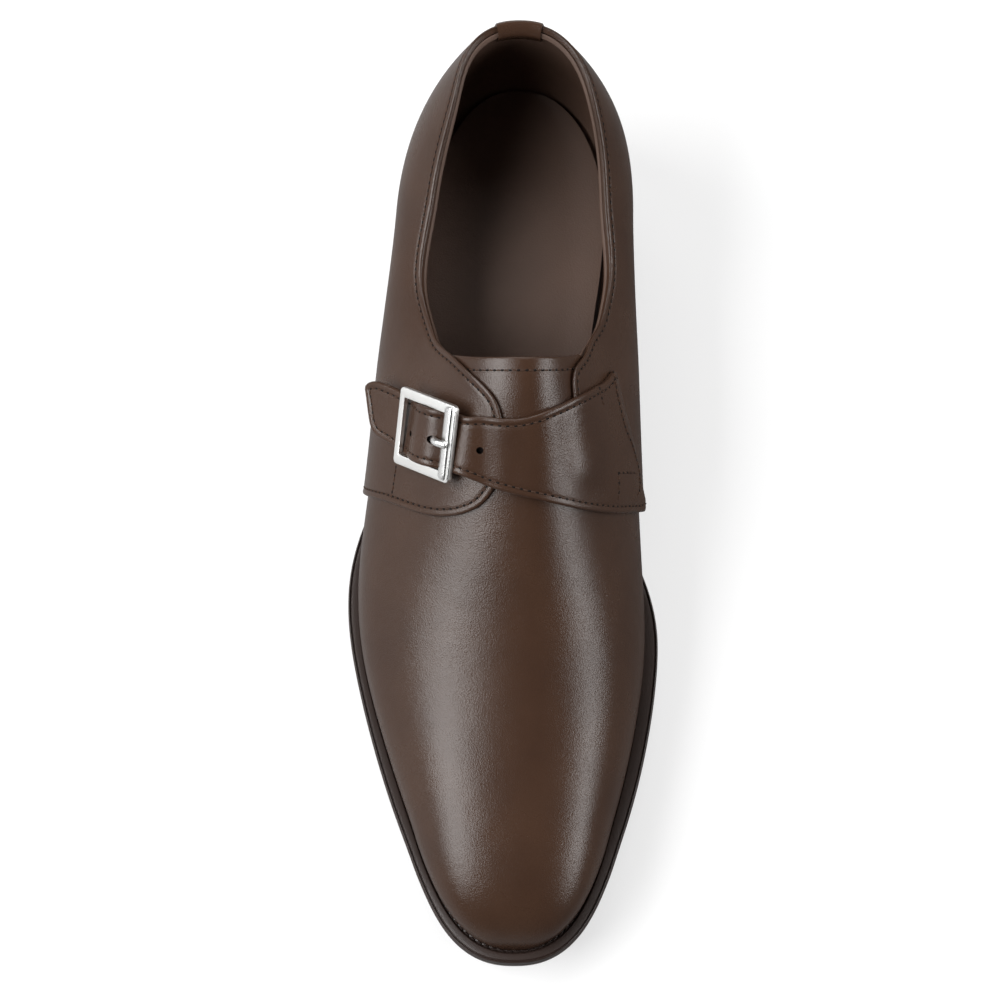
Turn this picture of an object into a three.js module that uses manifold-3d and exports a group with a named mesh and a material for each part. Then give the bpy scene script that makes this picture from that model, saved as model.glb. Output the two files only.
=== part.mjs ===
// A monk strap shoe for the right foot, in millimetres, +Z up, standing empty on its heel and forefoot.
// The toe points along -Y and the inner side of the foot is +X. Along the shoe, t is the distance from the
// back of the upper towards the toe. Around the shoe, g is the girth: 0 on the ridge, -1 at the outer
// feather edge and +1 at the inner one.
import * as THREE from 'three';
import { mergeVertices } from 'three/addons/utils/BufferGeometryUtils.js';
import Module from 'manifold-3d';

const wasm = await Module();
wasm.setup();

// ---------------------------------------------------------------- driving dimensions
const UPPER = { tip: 297, heelRound: 56, heelPower: 2.25, toeRound: 36, toePower: 2.2, toeDrop: 42, dropPower: 2.5, wall: 2 };
const SOLE = { back: 3.5, tip: 301.5, heelRound: 34, heelPower: 2.2, toeRound: 36, toePower: 2.35, thick: 5 };
const HEEL = { height: 25.5, seatDrop: 3, front: 72, topPiece: 6.5, breastCurve: 3, taper: 0.95 };
const BALL = { from: 190, to: 216 };
const TOE_SPRING = 12;
const TOE_WALL = 0.75;
const WELT = { thick: 2.6, outerFrom: 147, innerFrom: 167, overlap: 0.4 };
const INSOLE = { thick: 3, sideGap: 0.5 };
const BACK_LEAN = { above: 7, below: 4, rise: 50, drop: 18, fadeLength: 90 };
const WIDEST = 0.8;
const GAP = 0.3;
const FACING = { thick: 1.5 };
const STRAP = { thick: 2, above: 2.1 };
const THROAT = { corner: 113, tongueRise: 4.3 };
const BUCKLE = {
  t: 137, g: -0.324, lift: 6.2, turn: 9 * Math.PI / 180,
  width: 25.6, height: 25.8, bar: 3, thick: 1.8, cornerRadius: 2, sleeveRadius: 1.4,
  pinRadius: 0.8, pinDepth: -1.3,
};
const PRONG = { radius: 0.85, eyeInner: 1.1, eyeOuter: 1.75, holeAcross: 2.6, holeAlong: 1.5, holeAt: 3.4 };
const KEEPER = { width: 14, ring: 1.9, bore: 1.1, slotAlong: 2.6, slotAcross: 4.3, foot: 3.6, footThick: 1 };

// ---------------------------------------------------------------- tables
// A natural cubic spline through one column of a table.
function spline(xs, ys) {
  const n = xs.length;
  const bend = new Array(n).fill(0);
  const carry = new Array(n).fill(0);
  for (let i = 1; i < n - 1; i += 1) {
    const share = (xs[i] - xs[i - 1]) / (xs[i + 1] - xs[i - 1]);
    const pivot = share * bend[i - 1] + 2;
    const slopeChange = (ys[i + 1] - ys[i]) / (xs[i + 1] - xs[i]) - (ys[i] - ys[i - 1]) / (xs[i] - xs[i - 1]);
    bend[i] = (share - 1) / pivot;
    carry[i] = (6 * slopeChange / (xs[i + 1] - xs[i - 1]) - share * carry[i - 1]) / pivot;
  }
  for (let i = n - 2; i >= 0; i -= 1) bend[i] = bend[i] * bend[i + 1] + carry[i];
  return (x) => {
    let i = 0;
    while (i < n - 2 && x > xs[i + 1]) i += 1;
    const h = xs[i + 1] - xs[i];
    const a = (xs[i + 1] - x) / h;
    const b = (x - xs[i]) / h;
    return a * ys[i] + b * ys[i + 1] + ((a ** 3 - a) * bend[i] + (b ** 3 - b) * bend[i + 1]) * h * h / 6;
  };
}

function table(names, rows) {
  const keys = rows.map((row) => row[0]);
  const columns = {};
  names.forEach((name, k) => {
    columns[name] = spline(keys, rows.map((row) => row[k + 1]));
  });
  return columns;
}

// The last, a row for each section from heel to toe. outer and inner are half widths at the widest level,
// low is that level above the feather edge, top the height of the ridge above the floor, axis and ridge
// sideways shifts, slim how much the shoulders are hollowed, tuck how far the feather edge is drawn in.
const LAST = table(
  ['outer', 'inner', 'low', 'top', 'axis', 'ridge', 'slimOuter', 'slimInner', 'tuckOuter', 'tuckInner'],
  [
    [0, 37.6, 38.2, 20, 118, 1.7, 0, 0, 0, 6, 6],
    [22, 38.3, 39.1, 19, 104, 1.4, 0, 0.08, 0.01, 6, 6],
    [45, 38.9, 39.4, 18, 88, 0.5, 0, 0.08, 0.01, 6, 6],
    [68, 40.2, 39.6, 18, 80, 0, 0, 0.12, 0.06, 6.5, 7],
    [92, 42.2, 39.4, 16, 84, 0, 1, 0.16, 0.11, 8, 10],
    [118, 45, 40.1, 14, 91, 0, 3, 0.13, 0.12, 8, 11],
    [145, 48.3, 41.3, 13, 80, 0, 4, 0.09, 0.07, 6, 8],
    [170, 51.4, 42.6, 12, 67.5, 0, 4, 0.05, 0.03, 4, 5],
    [197, 50.3, 43.2, 12, 56, 0, 3, 0.02, 0, 3, 3.5],
    [222, 44.5, 40.2, 12, 48, 0, 1.5, 0, -0.02, 3, 3],
    [247, 36.6, 34.6, 12, 43.6, 0, 0.5, -0.03, -0.04, 3, 3],
    [272, 29, 28.2, 12.5, 40.8, 0, 0, -0.05, -0.05, 3, 3],
    [297, 25.6, 25.6, 12, 39.5, 0, 0, -0.05, -0.05, 3, 3],
  ],
);

// The outsole's half widths, to the outer and the inner side.
const OUTLINE = table(['outer', 'inner'], [
  [3.5, 32.5, 32.5],
  [30, 33, 33],
  [65, 33.5, 33],
  [95, 34.5, 30.5],
  [125, 38.5, 30],
  [148, 48.2, 35],
  [166, 54.2, 42],
  [186, 55.2, 47.6],
  [206, 52, 47.4],
  [229, 46.2, 43.8],
  [253, 38.5, 37.6],
  [277.5, 30.2, 30.1],
  [301.5, 26.6, 26.6],
]);

// Height of the collar's edge above the floor on each side, from the back seam to the throat.
const COLLAR = table(['outer', 'inner'], [
  [0, 91.5, 91.5],
  [20, 86.5, 87],
  [40, 76, 76.5],
  [60, 66.5, 67],
  [80, 62, 62.5],
  [96, 65, 65.5],
  [108, 72, 72],
  [118, 82, 82],
]);

// ---------------------------------------------------------------- the last as a surface
const clamp = THREE.MathUtils.clamp;
const mix = THREE.MathUtils.lerp;

// 1 along the straight part of an outline, falling to 0 over its rounded end.
function rounding(into, length, power) {
  const s = clamp(into / length, 0, 1);
  return (1 - s ** power) ** (1 / power);
}

function upperEnds(t) {
  const heel = rounding(UPPER.heelRound - t, UPPER.heelRound, UPPER.heelPower);
  const toe = rounding(t - UPPER.tip + UPPER.toeRound, UPPER.toeRound, UPPER.toePower);
  return heel * toe;
}

function soleEnds(t) {
  const heel = rounding(SOLE.back + SOLE.heelRound - t, SOLE.heelRound, SOLE.heelPower);
  const toe = rounding(t - SOLE.tip + SOLE.toeRound, SOLE.toeRound, SOLE.toePower);
  return heel * toe;
}

// Underside of the outsole: heel seat, waist, flat tread under the ball, toe spring.
function tread(t) {
  if (t >= BALL.from) return TOE_SPRING * clamp((t - BALL.to) / (SOLE.tip - BALL.to), 0, 1) ** 2;
  const seat = HEEL.height - HEEL.seatDrop * (t - SOLE.back) / (HEEL.front - SOLE.back);
  return seat * (1 - THREE.MathUtils.smootherstep(t, HEEL.front, BALL.from));
}

function soleTop(t) {
  return tread(t) + SOLE.thick;
}

function levels(t) {
  const toe = rounding(t - UPPER.tip + UPPER.toeDrop, UPPER.toeDrop, UPPER.dropPower);
  const feather = soleTop(t) + GAP;
  const top = feather + (LAST.top(t) - feather) * toe;
  const share = mix(TOE_WALL, LAST.low(t) / (LAST.top(t) - feather), toe);
  const widest = feather + (top - feather) * share;
  return { feather, widest, top };
}

// A point of the last, or of the same form made smaller (inset above 0) or larger (inset below 0).
function lastPoint(t, g, inset = 0) {
  const side = g < 0 ? -1 : 1;
  const name = g < 0 ? 'Outer' : 'Inner';
  const full = LAST[name.toLowerCase()](t);
  const ends = upperEnds(t);
  const half = (full - inset) * ends;
  const tuck = LAST[`tuck${name}`](t) * ends;
  const ridge = LAST.ridge(t) * ends;
  const { feather, widest, top } = levels(t);
  const shrink = 1 - inset / (LAST.top(t) - feather);
  const girth = Math.abs(g);
  let x;
  let z;
  if (girth <= WIDEST) {
    const angle = (1 - girth / WIDEST) * Math.PI / 2;
    const slim = 1 - LAST[`slim${name}`](t) * Math.sin(2 * angle) ** 2;
    x = ridge + (side * half - ridge) * slim * Math.cos(angle);
    z = widest + (top - widest) * slim * Math.sin(angle);
  } else {
    const angle = (girth - WIDEST) / (1 - WIDEST) * Math.PI / 2;
    x = side * (half - tuck * (1 - Math.cos(angle)));
    z = widest - (widest - feather) * Math.sin(angle);
  }
  const rise = z - widest;
  const fade = 1 - THREE.MathUtils.smoothstep(t, 0, BACK_LEAN.fadeLength);
  const lean = BACK_LEAN.above * clamp(rise / BACK_LEAN.rise, 0, 2) ** 1.7
    + BACK_LEAN.below * clamp(-rise / BACK_LEAN.drop, 0, 1) ** 2;
  const endwise = inset * (1 - 2 * t / UPPER.tip);
  return new THREE.Vector3(
    x + LAST.axis(t),
    -(t + lean * fade + endwise),
    feather + (z - feather) * shrink,
  );
}

function lastNormal(t, g) {
  const step = 0.01;
  const along = lastPoint(t + step, g).sub(lastPoint(t - step, g));
  const around = lastPoint(t, g + step).sub(lastPoint(t, g - step));
  const normal = around.cross(along).normalize();
  return normal.z < 0 ? normal.negate() : normal;
}

// Girth at which the section reaches the collar's edge.
function collarGirth(t, side) {
  const { widest, top } = levels(t);
  const height = (side < 0 ? COLLAR.outer : COLLAR.inner)(t);
  const name = side < 0 ? 'slimOuter' : 'slimInner';
  const reached = (height - widest) / (top - widest);
  let angle = Math.asin(clamp(reached, 0, 1));
  for (let k = 0; k < 8; k += 1) {
    const slim = 1 - LAST[name](t) * Math.sin(2 * angle) ** 2;
    angle = Math.asin(clamp(reached / slim, 0, 1));
  }
  return side * WIDEST * (1 - angle / (Math.PI / 2));
}

// ---------------------------------------------------------------- closed solids from sheets
const range = (count) => Array.from({ length: count + 1 }, (_, i) => i / count);

// Distances along an outline, drawn closer together over its rounded ends.
function stations(back, tip, heelRound, toeRound, steps) {
  const heel = range(steps.heel).map((s) => back + heelRound * (1 - Math.cos(s * Math.PI / 2)));
  const middle = range(steps.middle).map((s) => mix(back + heelRound, tip - toeRound, s));
  const toe = range(steps.toe).map((s) => tip - toeRound + toeRound * Math.sin(s * Math.PI / 2));
  return [...heel, ...middle.slice(1), ...toe.slice(1)];
}

// A sheet is a list of grids. Each grid is rows of parameters, and face and back turn a parameter into a
// point of the two skins. Points shared by both skins are joined, and open edges are closed by a wall.
function thickSheet(grids, face, back) {
  const skins = [[], []];
  const seen = new Map();
  const triangles = [];
  const index = (parameter) => {
    const points = [face(parameter), back(parameter)];
    const key = points.flatMap((p) => p.toArray()).map((v) => Math.round(v * 1000)).join();
    if (!seen.has(key)) {
      seen.set(key, skins[0].length);
      points.forEach((p, k) => skins[k].push(p));
    }
    return seen.get(key);
  };
  const addTriangle = (a, b, c) => {
    if (a !== b && b !== c && c !== a) triangles.push([a, b, c]);
  };
  grids.forEach((rows) => {
    const ids = rows.map((row) => row.map(index));
    for (let i = 0; i + 1 < ids.length; i += 1) {
      for (let j = 0; j + 1 < ids[i].length; j += 1) {
        addTriangle(ids[i][j], ids[i + 1][j], ids[i + 1][j + 1]);
        addTriangle(ids[i][j], ids[i + 1][j + 1], ids[i][j + 1]);
      }
    }
  });
  const count = skins[0].length;
  const edges = new Set(triangles.flatMap(([a, b, c]) => [`${a},${b}`, `${b},${c}`, `${c},${a}`]));
  const faces = triangles.flatMap(([a, b, c]) => [a, b, c, count + a, count + c, count + b]);
  edges.forEach((edge) => {
    const [a, b] = edge.split(',').map(Number);
    if (!edges.has(`${b},${a}`)) faces.push(b, a, count + a, b, count + a, count + b);
  });
  return closedGeometry([...skins[0], ...skins[1]], faces);
}

// Makes an indexed geometry with its faces pointing outwards.
function closedGeometry(points, faces) {
  const geometry = new THREE.BufferGeometry();
  geometry.setAttribute('position', new THREE.BufferAttribute(
    new Float32Array(points.flatMap((p) => p.toArray())),
    3,
  ));
  geometry.setIndex(faces);
  if (volume(geometry) < 0) {
    for (let i = 0; i < faces.length; i += 3) [faces[i], faces[i + 1]] = [faces[i + 1], faces[i]];
    geometry.setIndex(faces);
  }
  geometry.computeVertexNormals();
  return geometry;
}

function volume(geometry) {
  const position = geometry.getAttribute('position');
  const corner = [new THREE.Vector3(), new THREE.Vector3(), new THREE.Vector3()];
  let sum = 0;
  for (let i = 0; i < geometry.index.count; i += 3) {
    corner.forEach((v, k) => v.fromBufferAttribute(position, geometry.index.getX(i + k)));
    sum += corner[0].dot(corner[1].clone().cross(corner[2]));
  }
  return sum / 6;
}

function toSolid(geometry) {
  const bare = geometry.clone();
  bare.deleteAttribute('normal');
  if (bare.getAttribute('uv')) bare.deleteAttribute('uv');
  const merged = mergeVertices(bare, 1e-4);
  return new wasm.Manifold(new wasm.Mesh({
    numProp: 3,
    vertProperties: new Float32Array(merged.getAttribute('position').array),
    triVerts: new Uint32Array(merged.index.array),
  }));
}

function fromSolid(solid) {
  const mesh = solid.getMesh();
  const geometry = new THREE.BufferGeometry();
  geometry.setAttribute('position', new THREE.BufferAttribute(mesh.vertProperties, 3));
  geometry.setIndex(new THREE.BufferAttribute(mesh.triVerts, 1));
  geometry.computeVertexNormals();
  return geometry;
}

// ---------------------------------------------------------------- upper
function upperGrids() {
  const ts = stations(0, UPPER.tip, UPPER.heelRound, UPPER.toeRound, { heel: 9, middle: 23, toe: 9 });
  const throat = ts.findIndex((t) => t > THROAT.corner - 3);
  ts[throat] = THROAT.corner;
  const bodyColumns = range(9);
  const grids = [-1, 1].map((side) => ts.map((t) => {
    const edge = Math.abs(collarGirth(Math.min(t, THROAT.corner), side));
    return bodyColumns.map((s) => ({ t, g: side * mix(1, edge, s) }));
  }));
  const corner = [collarGirth(THROAT.corner, -1), collarGirth(THROAT.corner, 1)];
  const vamp = ts.slice(throat).map((t, row) => range(8).map((s) => ({
    t: row === 0 ? t + THROAT.tongueRise * (1 - (2 * s - 1) ** 2) : t,
    g: mix(corner[0], corner[1], s),
  })));
  grids[1] = grids[1].map((row) => [...row].reverse());
  return [...grids, vamp];
}

function upper() {
  return thickSheet(
    upperGrids(),
    ({ t, g }) => lastPoint(t, g),
    ({ t, g }) => lastPoint(t, g, UPPER.wall),
  );
}

// ---------------------------------------------------------------- sole, welt, insole and heel
function soleStations() {
  return stations(SOLE.back, SOLE.tip, SOLE.heelRound, SOLE.toeRound, { heel: 8, middle: 24, toe: 9 });
}

function solePoint(t, across, z, scale = 1) {
  const half = across < 0 ? OUTLINE.outer(t) : OUTLINE.inner(t);
  return new THREE.Vector3(across * half * soleEnds(t) * scale + LAST.axis(t), -t, z);
}

function plateGrid(ts, columns) {
  return ts.map((t) => range(columns).map((s) => ({ t, across: 2 * s - 1 })));
}

function outsole() {
  return thickSheet(
    [plateGrid(soleStations(), 4)],
    ({ t, across }) => solePoint(t, across, soleTop(t)),
    ({ t, across }) => solePoint(t, across, tread(t)),
  );
}

function insole() {
  const ts = stations(0, UPPER.tip, UPPER.heelRound, UPPER.toeRound, { heel: 8, middle: 22, toe: 9 });
  const inset = UPPER.wall + INSOLE.sideGap;
  const edge = (t, across, z) => {
    const foot = lastPoint(t, Math.sign(across) || 1, inset);
    const middle = LAST.axis(t);
    return new THREE.Vector3(mix(middle, foot.x, Math.abs(across)), foot.y, z);
  };
  return thickSheet(
    [plateGrid(ts, 4)],
    ({ t, across }) => edge(t, across, soleTop(t) + GAP + INSOLE.thick),
    ({ t, across }) => edge(t, across, soleTop(t) + GAP),
  );
}

// The welt runs round the forepart. Its inner face leans with the upper that it is sewn to.
function weltGirth(t, level) {
  const { feather, widest } = levels(t);
  const below = clamp((widest - level) / Math.max(widest - feather, GAP), 0, 1);
  return WIDEST + (1 - WIDEST) * Math.asin(below) / (Math.PI / 2);
}

function weltRow(t, side) {
  const low = soleTop(t) + GAP;
  const high = low + WELT.thick;
  const outerLow = solePoint(t, side, low);
  const outerHigh = solePoint(t, side, high, 0.992);
  const innerAt = (level) => {
    const point = lastPoint(t, side * weltGirth(t, level), -WELT.overlap);
    return new THREE.Vector3(point.x, point.y, level);
  };
  return { low: [outerLow, innerAt(low)], high: [outerHigh, innerAt(high)] };
}

function welt() {
  const tipShift = SOLE.tip - UPPER.tip - WELT.overlap;
  const forepart = (from) => stations(from - 40, UPPER.tip, 40, UPPER.toeRound, { heel: 1, middle: 18, toe: 9 }).slice(1);
  const outerT = (t) => t + tipShift * THREE.MathUtils.smoothstep(t, UPPER.tip - UPPER.toeRound, UPPER.tip)
    + WELT.overlap * Math.min(1, t / UPPER.tip);
  const around = [
    ...forepart(WELT.innerFrom).map((t) => ({ t, side: 1 })),
    ...forepart(WELT.outerFrom).slice(0, -1).reverse().map((t) => ({ t, side: -1 })),
  ];
  const ring = ({ t, side }, across, high) => {
    const row = weltRow(t, side);
    const pair = high ? row.high : row.low;
    const outerRow = weltRow(Math.min(outerT(t), SOLE.tip), side);
    const outer = (high ? outerRow.high : outerRow.low)[0];
    return outer.lerp(pair[1], across);
  };
  const grid = around.map((place) => [0, 1].map((across) => ({ ...place, across })));
  return thickSheet(
    [grid],
    (place) => ring(place, place.across, true),
    (place) => ring(place, place.across, false),
  );
}

function heelBlock(low, high, lowScale, highScale) {
  const ts = stations(SOLE.back, HEEL.front, SOLE.heelRound, 1, { heel: 8, middle: 4, toe: 1 });
  const breast = (t, across) => {
    const hollow = HEEL.breastCurve * (1 - across * across);
    return t - hollow * THREE.MathUtils.smoothstep(t, SOLE.back + SOLE.heelRound, HEEL.front);
  };
  const place = (t, across, z, scale) => {
    const point = solePoint(t, across, z, scale);
    const middle = -(SOLE.back + HEEL.front) / 2;
    point.y = mix(middle, -breast(t, across), scale);
    return point;
  };
  return thickSheet(
    [plateGrid(ts, 6)],
    ({ t, across }) => place(t, across, high(t), highScale),
    ({ t, across }) => place(t, across, low(t), lowScale),
  );
}

function heelStack() {
  return heelBlock(() => HEEL.topPiece + GAP, (t) => tread(t) - GAP, HEEL.taper, 0.99);
}

function heelTopPiece() {
  return heelBlock(() => 0, () => HEEL.topPiece, HEEL.taper - 0.01, HEEL.taper);
}

// ---------------------------------------------------------------- facings
// Where each facing starts and ends along the shoe, a row for each girth.
const OUTER_FACING = {
  side: -1,
  front: 0.072,
  low: 0.93,
  span: table(['from', 'to'], [
    [0.072, 142, 149],
    [0.085, 134.4, 153.6],
    [0.101, 130.4, 156.8],
    [0.14, 125.8, 161],
    [0.193, 120.8, 162.8],
    [0.283, 114, 162.5],
    [0.384, 112.6, 159.8],
    [0.527, 112, 154.5],
    [0.7, 112, 148.8],
    [0.93, 112, 141],
  ]),
};
const INNER_FACING = {
  side: 1,
  front: 0.226,
  low: 0.93,
  span: table(['from', 'to'], [
    [0.226, 124, 148],
    [0.246, 119.4, 151],
    [0.31, 114, 153],
    [0.4, 112.6, 152.5],
    [0.5, 112, 151.5],
    [0.7, 112, 149],
    [0.93, 112, 146],
  ]),
};

function facing({ side, front, low, span }) {
  const rows = range(22).map((step) => {
    const girth = mix(front, low, step ** 1.5);
    return range(9).map((s) => ({ g: side * girth, t: mix(span.from(girth), span.to(girth), s) }));
  });
  return thickSheet(
    [rows],
    ({ t, g }) => lastPoint(t, g, -GAP - FACING.thick),
    ({ t, g }) => lastPoint(t, g, -GAP),
  );
}

// ---------------------------------------------------------------- buckle
// The buckle's own axes: u across towards the inner side, v along the bars towards the heel, n outwards.
function buckleFrame() {
  const n = lastNormal(BUCKLE.t, BUCKLE.g);
  const u = new THREE.Vector3(Math.cos(BUCKLE.turn), -Math.sin(BUCKLE.turn), 0);
  u.addScaledVector(n, -u.dot(n)).normalize();
  const v = n.clone().cross(u);
  const centre = lastPoint(BUCKLE.t, BUCKLE.g).addScaledVector(n, BUCKLE.lift);
  return new THREE.Matrix4().makeBasis(u, v, n).setPosition(centre);
}

const ON_BUCKLE = buckleFrame();

function onBuckle(u, v, n) {
  return new THREE.Vector3(u, v, n).applyMatrix4(ON_BUCKLE);
}

function roundedRectangle(path, width, height, radius) {
  const x = width / 2;
  const y = height / 2;
  path.moveTo(x - radius, -y);
  path.absarc(x - radius, radius - y, radius, -Math.PI / 2, 0, false);
  path.absarc(x - radius, y - radius, radius, 0, Math.PI / 2, false);
  path.absarc(radius - x, y - radius, radius, Math.PI / 2, Math.PI, false);
  path.absarc(radius - x, radius - y, radius, Math.PI, 3 * Math.PI / 2, false);
  path.closePath();
  return path;
}

function buckleRing() {
  const outline = roundedRectangle(new THREE.Shape(), BUCKLE.width, BUCKLE.height, BUCKLE.cornerRadius);
  const window = new THREE.Path();
  outline.holes.push(roundedRectangle(window, BUCKLE.width - 2 * BUCKLE.bar, BUCKLE.height - 2 * BUCKLE.bar, 0.6));
  const plate = new THREE.ExtrudeGeometry(outline, { depth: BUCKLE.thick, bevelEnabled: false, curveSegments: 4 });
  plate.translate(0, 0, -BUCKLE.thick / 2);
  const sleeve = new THREE.CylinderGeometry(BUCKLE.sleeveRadius, BUCKLE.sleeveRadius, BUCKLE.height - 1, 14);
  sleeve.translate(BUCKLE.width / 2 - BUCKLE.sleeveRadius, 0, 0);
  return fromSolid(toSolid(plate).add(toSolid(sleeve))).applyMatrix4(ON_BUCKLE);
}

function bucklePin() {
  const length = BUCKLE.height - 2 * BUCKLE.bar - 2 * GAP;
  const pin = new THREE.CylinderGeometry(BUCKLE.pinRadius, BUCKLE.pinRadius, length, 12);
  return pin.translate(0, 0, BUCKLE.pinDepth).applyMatrix4(ON_BUCKLE);
}

// An eye round the pin, and a pin that rises through the strap's hole and rests on the frame.
function prong() {
  const eyeShape = new THREE.Shape().absarc(0, 0, PRONG.eyeOuter, 0, 2 * Math.PI, false);
  eyeShape.holes.push(new THREE.Path().absarc(0, 0, PRONG.eyeInner, 0, 2 * Math.PI, true));
  const eyeWidth = 2 * PRONG.radius;
  const eye = new THREE.ExtrudeGeometry(eyeShape, { depth: eyeWidth, bevelEnabled: false, curveSegments: 8 });
  eye.translate(0, 0, -eyeWidth / 2).rotateX(Math.PI / 2).translate(0, 0, BUCKLE.pinDepth);
  const rest = BUCKLE.sleeveRadius + PRONG.radius + GAP;
  const route = new THREE.CatmullRomCurve3([
    new THREE.Vector3(1.4, 0, BUCKLE.pinDepth + 0.9),
    new THREE.Vector3(2.5, 0, 0.6),
    new THREE.Vector3(3.8, 0, 2.6),
    new THREE.Vector3(5.6, 0, 3.6),
    new THREE.Vector3(8.4, 0, rest + 0.5),
    new THREE.Vector3(11.8, 0, rest),
  ]);
  const section = new THREE.Shape().absarc(0, 0, PRONG.radius, 0, 2 * Math.PI, false);
  const pin = new THREE.ExtrudeGeometry(section, { steps: 16, extrudePath: route, curveSegments: 5 });
  return fromSolid(toSolid(eye).add(toSolid(pin))).applyMatrix4(ON_BUCKLE);
}

// A leather loop round the pin, slotted for the prong, with its foot on the outer facing.
function keeper() {
  const floor = -(BUCKLE.lift - 2 * GAP - FACING.thick + BUCKLE.pinDepth);
  const loop = new THREE.Shape();
  loop.moveTo(-KEEPER.foot, floor);
  loop.lineTo(KEEPER.foot, floor);
  loop.lineTo(KEEPER.foot, floor + KEEPER.footThick);
  loop.absarc(0, 0, KEEPER.ring, 0, Math.PI, false);
  loop.lineTo(-KEEPER.foot, floor + KEEPER.footThick);
  loop.closePath();
  loop.holes.push(new THREE.Path().absarc(0, 0, KEEPER.bore, 0, 2 * Math.PI, true));
  const body = new THREE.ExtrudeGeometry(loop, { depth: KEEPER.width, bevelEnabled: false, curveSegments: 8 });
  body.translate(0, 0, -KEEPER.width / 2).rotateX(Math.PI / 2).translate(0, 0, BUCKLE.pinDepth);
  const slot = new THREE.BoxGeometry(KEEPER.slotAcross, KEEPER.slotAlong, 3 * KEEPER.ring);
  slot.translate(0, 0, BUCKLE.pinDepth);
  return fromSolid(toSolid(body).subtract(toSolid(slot))).applyMatrix4(ON_BUCKLE);
}

// ---------------------------------------------------------------- strap
// On the shoe, where the strap's edges lie along the shoe, a row for each girth up to the root.
const STRAP_EDGES = table(['heelward', 'toeward'], [
  [-0.236, 133.2, 149.9],
  [-0.139, 135.2, 154.4],
  [-0.025, 136.1, 158.2],
  [0.104, 133, 160.2],
  [0.222, 128.5, 161],
  [0.356, 122.8, 160.2],
  [0.515, 115, 157.6],
]);
// The root is cut at a slant: its two edges run straight from the strap to its lowest corner.
const STRAP_ROOT = { from: 0.515, to: 0.72, heelward: [115, 152], toeward: [157.6, 152.6] };
const STRAP_GIRTHS = [0.72, 0.66, 0.6, 0.56, 0.515, 0.44, 0.356, 0.29, 0.222, 0.16, 0.104, 0.04, -0.025, -0.08, -0.139];
// Past the buckle's inner bar the strap follows the buckle: how high its underside lies, and its two edges.
const STRAP_ON_BUCKLE = [
  { u: 12.6, under: -3.75, heelward: 9.4, toeward: -9.4 },
  { u: 11, under: -3.75, heelward: 9.4, toeward: -9.4 },
  { u: 8.6, under: -3, heelward: 9.4, toeward: -9.4 },
  { u: 6, under: -1.4, heelward: 9.4, toeward: -9.4 },
  { u: 3.6, under: 0.4, heelward: 9.4, toeward: -9.4 },
  { u: 1.4, under: 1, heelward: 9.4, toeward: -9.4 },
  { u: -1.4, under: 1, heelward: 9.4, toeward: -9.4 },
  { u: -3.8, under: 0.1, heelward: 9.4, toeward: -9.4 },
  { u: -6.4, under: -1.6, heelward: 9.4, toeward: -9.4 },
  { u: -9, under: -3, heelward: 9.4, toeward: -9.4 },
  { u: -11.4, under: -3.3, heelward: 9.4, toeward: -9.4 },
  { u: -14, under: -3.2, heelward: 9.9, toeward: -8.6 },
  { u: -18, under: -3, heelward: 10.5, toeward: -7.4 },
  { u: -22, under: -2.7, heelward: 10.9, toeward: -6.7 },
  { u: -25, under: -2.45, heelward: 11.1, toeward: -5.8 },
  { u: -27, under: -2.3, heelward: 11.1, toeward: -4.2 },
  { u: -28.6, under: -2.2, heelward: 10.9, toeward: -1.2 },
  { u: -30, under: -2.1, heelward: 10.3, toeward: 2.4 },
  { u: -31.2, under: -2.05, heelward: 9.5, toeward: 5.6 },
  { u: -32, under: -2, heelward: 8.6, toeward: 7.4 },
];

function strapEdge(g, name) {
  if (g <= STRAP_ROOT.from) return STRAP_EDGES[name](g);
  return mix(...STRAP_ROOT[name], (g - STRAP_ROOT.from) / (STRAP_ROOT.to - STRAP_ROOT.from));
}

function strap() {
  const columns = range(6);
  const rows = [
    ...STRAP_GIRTHS.map((g) => columns.map((s) => ({ g, s }))),
    ...STRAP_ON_BUCKLE.map((row) => columns.map((s) => ({ row, s }))),
  ];
  const place = (above) => ({ g, s, row }) => {
    if (row) return onBuckle(row.u, mix(row.heelward, row.toeward, s), row.under + above);
    const t = mix(strapEdge(g, 'heelward'), strapEdge(g, 'toeward'), s);
    return lastPoint(t, g, -STRAP.above - above);
  };
  const body = thickSheet([rows], place(STRAP.thick), place(0));
  const hole = new THREE.CylinderGeometry(1, 1, 4 * STRAP.thick, 14).rotateX(Math.PI / 2);
  hole.scale(PRONG.holeAcross, PRONG.holeAlong, 1).translate(PRONG.holeAt, 0, 1);
  return fromSolid(toSolid(body).subtract(toSolid(hole.applyMatrix4(ON_BUCKLE))));
}

// ---------------------------------------------------------------- assembly
const LEATHER = { color: 0x4a382f, roughness: 0.45, metalness: 0 };
const SOLE_LEATHER = { color: 0x2d2321, roughness: 0.5, metalness: 0 };
const LINING = { color: 0x5a3a28, roughness: 0.7, metalness: 0 };
const RUBBER = { color: 0x161413, roughness: 0.8, metalness: 0 };
const STEEL = { color: 0xd8d8d6, roughness: 0.15, metalness: 1 };

const PIECES = [
  ['outsole', outsole, SOLE_LEATHER],
  ['heel_stack', heelStack, SOLE_LEATHER],
  ['heel_top_piece', heelTopPiece, RUBBER],
  ['welt', welt, SOLE_LEATHER],
  ['insole', insole, LINING],
  ['upper', upper, LEATHER],
  ['outer_facing', () => facing(OUTER_FACING), LEATHER],
  ['inner_facing', () => facing(INNER_FACING), LEATHER],
  ['strap', strap, LEATHER],
  ['buckle_frame', buckleRing, STEEL],
  ['buckle_pin', bucklePin, STEEL],
  ['buckle_prong', prong, STEEL],
  ['buckle_keeper', keeper, LEATHER],
];

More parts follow.
